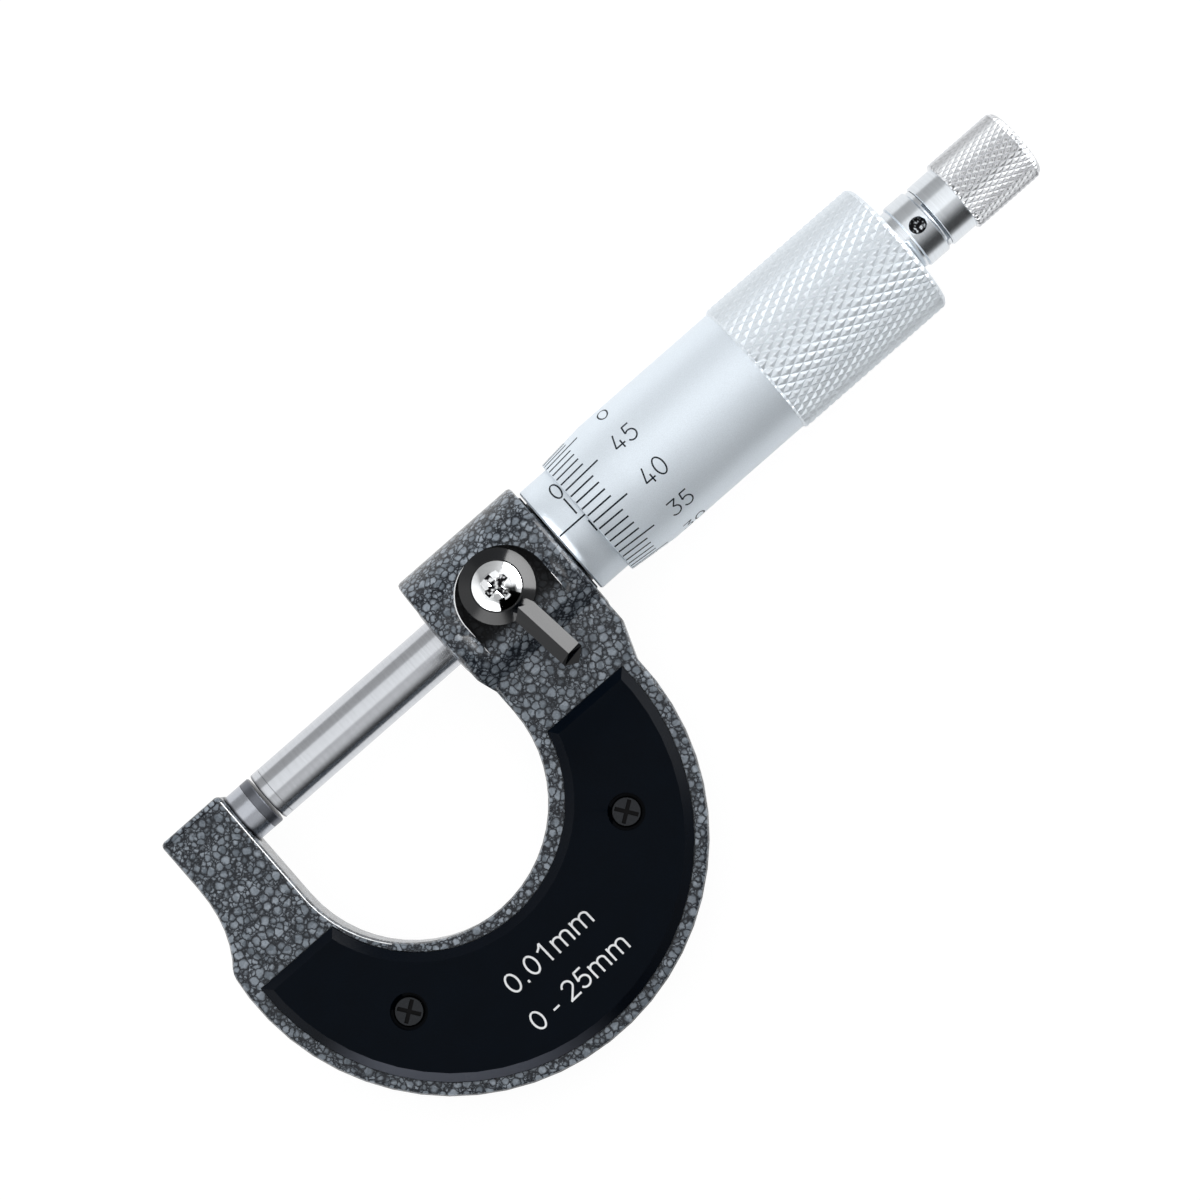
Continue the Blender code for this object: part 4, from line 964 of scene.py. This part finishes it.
# %% Ratchet knob
KNOB_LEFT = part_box("ratchet_knob")[0].x
KNOB_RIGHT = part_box("ratchet_knob")[1].x
KNOB = 4.83 * MM
SKIRT = 4.33 * MM
KNURL_LEFT = KNOB_LEFT + 3.55 * MM
knob_end = corner(KNOB_RIGHT, KNOB, 1.1 * MM, 8)
inside = [
    (KNOB_RIGHT, 2.85 * MM),
    (KNOB_RIGHT - 2.1 * MM, 2.85 * MM),
    (KNOB_RIGHT - 2.1 * MM, 1.85 * MM),
    (KNOB_LEFT + 8.2 * MM, 1.85 * MM),
    (KNOB_LEFT + 8.2 * MM, 3.83 * MM),
    (KNOB_LEFT, 3.83 * MM),
]
knob = knurled_round(
    "knob_knurled",
    [
        (KNOB_LEFT, SKIRT - 0.1 * MM),
        (KNOB_LEFT + 0.1 * MM, SKIRT),
        (KNURL_LEFT - 0.05 * MM, SKIRT),
        (KNURL_LEFT, SKIRT),
        (KNURL_LEFT, KNOB - 0.2 * MM),
    ],
    [(KNURL_LEFT + 0.01 * MM, KNOB - 0.2 * MM), (KNURL_LEFT + 0.2 * MM, KNOB), *knob_end[:6]],
    [*knob_end[6:], *inside],
    starts=38,
    angle=math.radians(29.5),
    depth=0.2 * MM,
    flat=0.15,
    material=cap_chrome,
    body="knob",
)
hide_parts("ratchet_knob")
count = second_finish(knob, bright, lambda normal, centre: centre[:, 0] < KNURL_LEFT)
print("skirt faces:", count)

# %% [markdown]
# ## Graduations and numerals
#
# The lines on a micrometer are cut and filled with dark ink. The fixed sleeve has a long index line
# with a mark each half millimetre, on both sides of it in turn. The thimble's edge has fifty marks,
# one for each hundredth of a millimetre. All numerals are drawn with one thin stroke, as an
# engraving machine does. A stroke is a line of points on the unrolled surface; it gets a width
# across its direction, is rolled onto the turned surface, and becomes a thin closed ribbon.


# %% Strokes
INK_PROUD = 0.012 * MM
INK_SUNK = 0.03 * MM


def rolled(radius_at):
    """Places unrolled points (x, arc) at (x, r sin a, r cos a), with a the arc over the radius."""

    def place(points, lift):
        radius = radius_at(points[:, 0])
        angle = points[:, 1] / radius
        radius = radius + lift
        return np.stack([points[:, 0], radius * np.sin(angle), radius * np.cos(angle)], -1)

    return place


def laid(start, tilt, top):
    """Places flat points on an upward face, turned by the tilt round the start."""

    def place(points, lift):
        x = start[0] + points[:, 0] * math.cos(tilt) - points[:, 1] * math.sin(tilt)
        y = start[1] + points[:, 0] * math.sin(tilt) + points[:, 1] * math.cos(tilt)
        return np.stack([x, y, np.full_like(x, top + lift)], -1)

    return place


def closed_strip(*edges):
    """A strip from its four long edges, taken round it, with both ends closed."""
    n = len(edges[0])
    k = np.arange(n - 1)[:, None] * 4
    sides = [
        np.concatenate([k + p, k + (p + 1) % 4, k + 4 + (p + 1) % 4, k + 4 + p], 1)
        for p in range(4)
    ]
    ends = np.array([[3, 2, 1, 0], [4 * n - 4, 4 * n - 3, 4 * n - 2, 4 * n - 1]])
    return np.stack(edges, 1).reshape(-1, 3), np.concatenate([*sides, ends])


def ribbon(stroke, width, place, proud=INK_PROUD):
    """A closed ribbon along a stroke of flat points: each moves half the width to both sides.

    The upper face lies a little above the surface and the lower face a little inside it.
    """
    stroke = np.array(stroke, float)
    ahead = np.gradient(stroke, axis=0)
    ahead /= np.linalg.norm(ahead, axis=1)[:, None]
    side = np.stack([-ahead[:, 1], ahead[:, 0]], 1) * width / 2
    left, right = stroke + side, stroke - side
    upper = place(left, proud), place(right, proud)
    return closed_strip(*upper, place(right, -INK_SUNK), place(left, -INK_SUNK))


def inked(name, ribbons, material, body):
    """Joins many ribbons in one piece."""
    points, faces, count = [], [], 0
    for some_points, some_faces in ribbons:
        points.append(some_points)
        faces.append(some_faces[:, ::-1] + count)
        count += len(some_points)
    points, faces = np.concatenate(points), np.concatenate(faces)
    put_mesh(name, points, faces, material, body, smooth=False)


print("ink stands proud by mm:", round(INK_PROUD / MM, 3))

# %% Single-stroke numerals
ROUND = 24
NUMERAL_LINE = 0.2 * MM


def bow(centre, radii, start, stop):
    """Part of an ellipse, counted in degrees from the right, counter-clockwise."""
    a = np.radians(np.linspace(start, stop, ROUND))
    return np.stack([centre[0] + radii[0] * np.cos(a), centre[1] + radii[1] * np.sin(a)], 1)


def line(*corners):
    """A polyline, with points added beside each corner so that the bends stay square."""
    made = []
    for a, b in zip(corners[:-1], corners[1:]):
        t = np.array([0.0, 0.02, 0.5, 0.98, 1.0])[:, None]
        made.append(np.array(a) * (1 - t) + np.array(b) * t)
    made = np.concatenate(made)
    return made[np.r_[True, np.any(np.diff(made, axis=0) != 0, axis=1)]]


# Each numeral stands in a box of this width and 1 high
NUMERAL_WIDTH = 0.62
NUMERALS = {
    "0": [bow((0.31, 0.5), (0.28, 0.5), 90, 450)],
    "1": [line((0.12, 0.76), (0.34, 1.0), (0.34, 0.0))],
    "2": [
        np.concatenate(
            [bow((0.31, 0.73), (0.27, 0.27), 160, -35), line((0.5, 0.5), (0.03, 0.0), (0.6, 0.0))]
        )
    ],
    "3": [
        line((0.04, 1.0), (0.56, 1.0), (0.28, 0.62)),
        bow((0.28, 0.31), (0.3, 0.31), 90, -150),
    ],
    "4": [line((0.3, 1.0), (0.02, 0.24), (0.62, 0.24)), line((0.44, 0.5), (0.44, 0.0))],
    "5": [line((0.54, 1.0), (0.13, 1.0), (0.08, 0.56)), bow((0.29, 0.32), (0.3, 0.32), 135, -150)],
}


def numerals(text, x, arc, height, place, gap, squeeze=1.0):
    """Ribbons for a number that starts at x and is centred on the arc length."""
    found = []
    for digit in text:
        for stroke in NUMERALS[digit]:
            placed = stroke * (height * squeeze, height) + (x, arc - height / 2)
            found.append(ribbon(placed, NUMERAL_LINE, place))
        x += (NUMERAL_WIDTH * squeeze + gap) * height
    return found


print("numerals:", "".join(NUMERALS))

# %% Marks on the thimble
DIVISIONS = 50
READING = 41.38
LINE_WIDTH = 0.21 * MM


def thimble_radius(x):
    """The bevel's radius grows evenly from the front edge to the barrel, then stays."""
    grown = np.clip((x - THIMBLE_LEFT) / (BEVEL_END - THIMBLE_LEFT), 0, 1)
    return FRONT_EDGE + (BARREL - FRONT_EDGE) * grown


marks = []
for division in range(DIVISIONS):
    turn = math.radians((division - READING) * 360 / DIVISIONS)
    length = 5.3 * MM if division % 5 == 0 else 3.7 * MM
    x = np.linspace(THIMBLE_LEFT + 0.1 * MM, THIMBLE_LEFT + length, 12)
    x = np.array([*x, BEVEL_END]) if x[-1] > BEVEL_END else x
    arc = turn * thimble_radius(x)
    marks.append(ribbon(np.stack([x, arc], 1), LINE_WIDTH, rolled(thimble_radius)))
    if division % 5 == 0:
        text = str(division)
        start = THIMBLE_LEFT + 7.75 * MM if len(text) == 2 else THIMBLE_LEFT + 8.6 * MM
        marks += numerals(text, start, turn * BARREL, 2.3 * MM, rolled(thimble_radius), 0.17)
inked("thimble_marks", marks, dark_ink, "thimble")
print("thimble ribbons:", len(marks))

# %% Marks on the sleeve
ZERO_X = 50.13 * MM
SLEEVE = 7.5 * MM
SLEEVE_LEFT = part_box("sleeve")[0].x
SLEEVE_NUMERAL = 2.4 * MM
SQUEEZE = 0.84
GAP = 0.15


def sleeve_radius(x):
    """The sleeve is a plain cylinder."""
    return np.full_like(x, SLEEVE)


def around(x, low, high):
    """A line round the sleeve at x between two angles in degrees from the index line."""
    arc = np.radians(np.linspace(low, high, 10)) * SLEEVE
    return ribbon(np.stack([np.full(10, x), arc], 1), LINE_WIDTH, rolled(sleeve_radius))


index = np.stack([np.linspace(SLEEVE_LEFT + 0.25 * MM, ZERO_X + 25.6 * MM, 30), np.zeros(30)], 1)
marks = [ribbon(index, LINE_WIDTH, rolled(sleeve_radius))]
for whole in range(26):
    marks.append(around(ZERO_X + whole * MM, 5.4, 24.2 if whole % 5 == 0 else 18.0))
    if whole < 25:
        marks.append(around(ZERO_X + (whole + 0.5) * MM, -18.3, -5.8))
    if whole % 5 == 0:
        text = str(whole)
        width = NUMERAL_WIDTH * SQUEEZE * len(text) + GAP * (len(text) - 1)
        start = ZERO_X + (whole - 0.13) * MM - width * SLEEVE_NUMERAL / 2
        arc = math.radians(36) * SLEEVE
        marks += numerals(text, start, arc, SLEEVE_NUMERAL, rolled(sleeve_radius), GAP, SQUEEZE)
inked("sleeve_marks", marks, dark_ink, "frame")
print("sleeve ribbons:", len(marks))

# %% [markdown]
# ## The bright rim of the lock's pocket
#
# On one side the pocket's edge shines as a white line, which a painted highlight stands for here.
# It follows the crossing of an upright cylinder with the head, which lies along X.
# A thin strip is laid on that line; it narrows to nothing at both ends.


# %% Rim strip
HEAD = 8.8 * MM
HEAD_DROP = 0.8 * MM


def head_height(y):
    """The head's height: a round top, a short flat, and a round lower side."""
    beyond = np.where(y > 0, y, np.minimum(0, y + HEAD_DROP))
    return np.sqrt(HEAD**2 - beyond**2)


def rim_strip(x, y, out_x, out_y, width):
    """A closed strip from the rim's points outwards, as wide as the root of half a sine."""
    reach = width * np.sqrt(np.sin(np.linspace(0.02, math.pi - 0.02, len(x))))
    inner, outer = (x, y), (x + reach * out_x, y + reach * out_y)

    def edge(side, lift):
        return np.stack([*side, head_height(side[1]) + lift], -1)

    upper = edge(inner, INK_PROUD), edge(outer, INK_PROUD)
    return closed_strip(*upper, edge(outer, -INK_SUNK), edge(inner, -INK_SUNK))


def upright_strip(x, outward, top, bottom, width):
    """A rim strip at one x, from a top to a bottom y."""
    y = np.linspace(top, bottom, 10) * MM
    return rim_strip(np.full(10, x), y, np.full(10, outward), np.zeros(10), width)


RIM = 5.81 * MM
a = np.radians(np.linspace(102, 180, 30))
down = np.linspace(0, 1, 8)[1:] * 1.6 * MM
x = np.concatenate([LOCK_X + RIM * np.cos(a), np.full(len(down), LOCK_X - RIM)])
y = np.concatenate([POCKET_Y + RIM * np.sin(a), POCKET_Y - down])
out_x = np.concatenate([np.cos(a), np.full(len(down), -1.0)])
out_y = np.concatenate([np.sin(a), np.zeros(len(down))])
strips = [rim_strip(x, y, out_x, out_y, 0.14 * MM)]
# The left one starts at -4 mm: further up, the blade meets this edge at the end of its turn
strips.append(upright_strip(LOCK_X - RIM, -1.0, -4.0, -5.0, 0.1 * MM))
strips.append(upright_strip(LOCK_X + RIM, 1.0, -2.5, -4.5, 0.08 * MM))
# Painted highlight strips along the pocket's rim
inked("pocket_rim_highlight", strips, painted_edge_highlight, "frame")
print("rim strips:", len(strips))

# %% [markdown]
# ## The bright edge of the throat
#
# A painted highlight lies in a thin line on the throat's rounded edge, on the anvil's side.

# %% Edge strip
WEB_TOP = 4.75 * MM
EDGE = 0.7 * MM
THROAT = (12.8 * MM, -11.8 * MM)
THROAT_RADIUS = 16.4 * MM
EDGE_PROUD = 0.008 * MM
EDGE_SUNK = 0.08 * MM
BRIGHT_FROM, BRIGHT_TO = math.radians(35), math.radians(47)


def edge_strip(x, y, out_x, out_y, low, high):
    """A closed strip on a rounded edge, between two angles counted down from the front face."""

    def edge(angle, lift):
        out = (EDGE + lift) * math.sin(angle) - EDGE
        height = np.full_like(x, WEB_TOP - EDGE + (EDGE + lift) * math.cos(angle))
        return np.stack([x + out_x * out, y + out_y * out, height], -1)

    upper = edge(low, EDGE_PROUD), edge(high, EDGE_PROUD)
    return closed_strip(*upper, edge(high, -EDGE_SUNK), edge(low, -EDGE_SUNK))


straight = np.linspace(2.9 * MM, THROAT[1], 12)[:-1]
a = np.radians(np.linspace(180, 222, 24))
x = np.concatenate([np.full(len(straight), ARM_FACE), THROAT[0] + THROAT_RADIUS * np.cos(a)])
y = np.concatenate([straight, THROAT[1] + THROAT_RADIUS * np.sin(a)])
out_x = np.concatenate([np.ones(len(straight)), -np.cos(a)])
out_y = np.concatenate([np.zeros(len(straight)), -np.sin(a)])
edge_line = edge_strip(x, y, out_x, out_y, BRIGHT_FROM, BRIGHT_TO)
# A painted highlight strip on the throat's edge
inked("throat_edge_highlight", [edge_line], painted_edge_highlight, "frame")
print("edge points:", len(x))

# %% [markdown]
# ## Lettering on the front cover
#
# The cover carries two figures in white print: what one division is worth and the measuring
# range. The print has even strokes, so the same ribbons draw it, only thicker and laid flat on
# the cover. Each letter stands in a box 1 high with its own advance.

# %% Print letters
PRINT_LINE = 0.098
SIDE_ROOM = 0.06
FIGURE = 0.777
ARCH = (0.22, 0.2)
PRINT = {
    "0": (FIGURE, [bow((0.388, 0.5), (0.27, 0.44), 90, 450)]),
    "1": (FIGURE, [line((0.16, 0.74), (0.34, 0.84), (0.47, 1.0)), line((0.47, 1.0), (0.47, 0.0))]),
    "2": (
        FIGURE,
        [
            bow((0.385, 0.68), (0.265, 0.26), 165, -35),
            line((0.6, 0.53), (0.13, 0.07)),
            line((0.07, 0.06), (0.7, 0.06)),
        ],
    ),
    "5": (
        FIGURE,
        [
            line((0.64, 0.94), (0.23, 0.94), (0.16, 0.5)),
            bow((0.38, 0.33), (0.28, 0.27), 142, -155),
        ],
    ),
    "m": (
        1.163,
        [
            line((0.15, 0.72), (0.15, 0.0)),
            np.concatenate([bow((0.37, 0.46), ARCH, 180, 0), line((0.59, 0.4), (0.59, 0.0))]),
            np.concatenate([bow((0.81, 0.46), ARCH, 180, 0), line((1.03, 0.4), (1.03, 0.0))]),
        ],
    ),
    ".": (0.388, [line((0.19, 0.0), (0.19, 0.13))]),
    "-": (0.465, [line((0.05, 0.33), (0.41, 0.33))]),
    " ": (0.388, []),
}
print("letters:", len(PRINT))


# %% Print
COVER_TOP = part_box("cover_front")[1].z
TILT = math.radians(2.5)


def printed(name, text, width, middle):
    """A line of print whose letters' advances share out the width, centred on the middle."""
    height = width / (sum(PRINT[letter][0] for letter in text) - 2 * SIDE_ROOM)
    start_x = middle[0] - math.cos(TILT) * width / 2 + math.sin(TILT) * height / 2
    start_y = middle[1] - math.sin(TILT) * width / 2 - math.cos(TILT) * height / 2
    place = laid((start_x, start_y), TILT, COVER_TOP)
    at = -SIDE_ROOM * height
    found = []
    for letter in text:
        advance, strokes = PRINT[letter]
        for layer, stroke in enumerate(strokes):
            proud = INK_PROUD * (1 + 0.25 * layer)
            found.append(ribbon(stroke * height + (at, 0), PRINT_LINE * height, place, proud))
        at += advance * height
    print(name, "height in mm:", round(height / MM, 2))
    inked(name, found, white_ink, "frame")


printed("print_division", "0.01mm", 12.95 * MM, (13.88 * MM, -35.5 * MM))
printed("print_range", "0 - 25mm", 14.75 * MM, (14.18 * MM, -40.66 * MM))
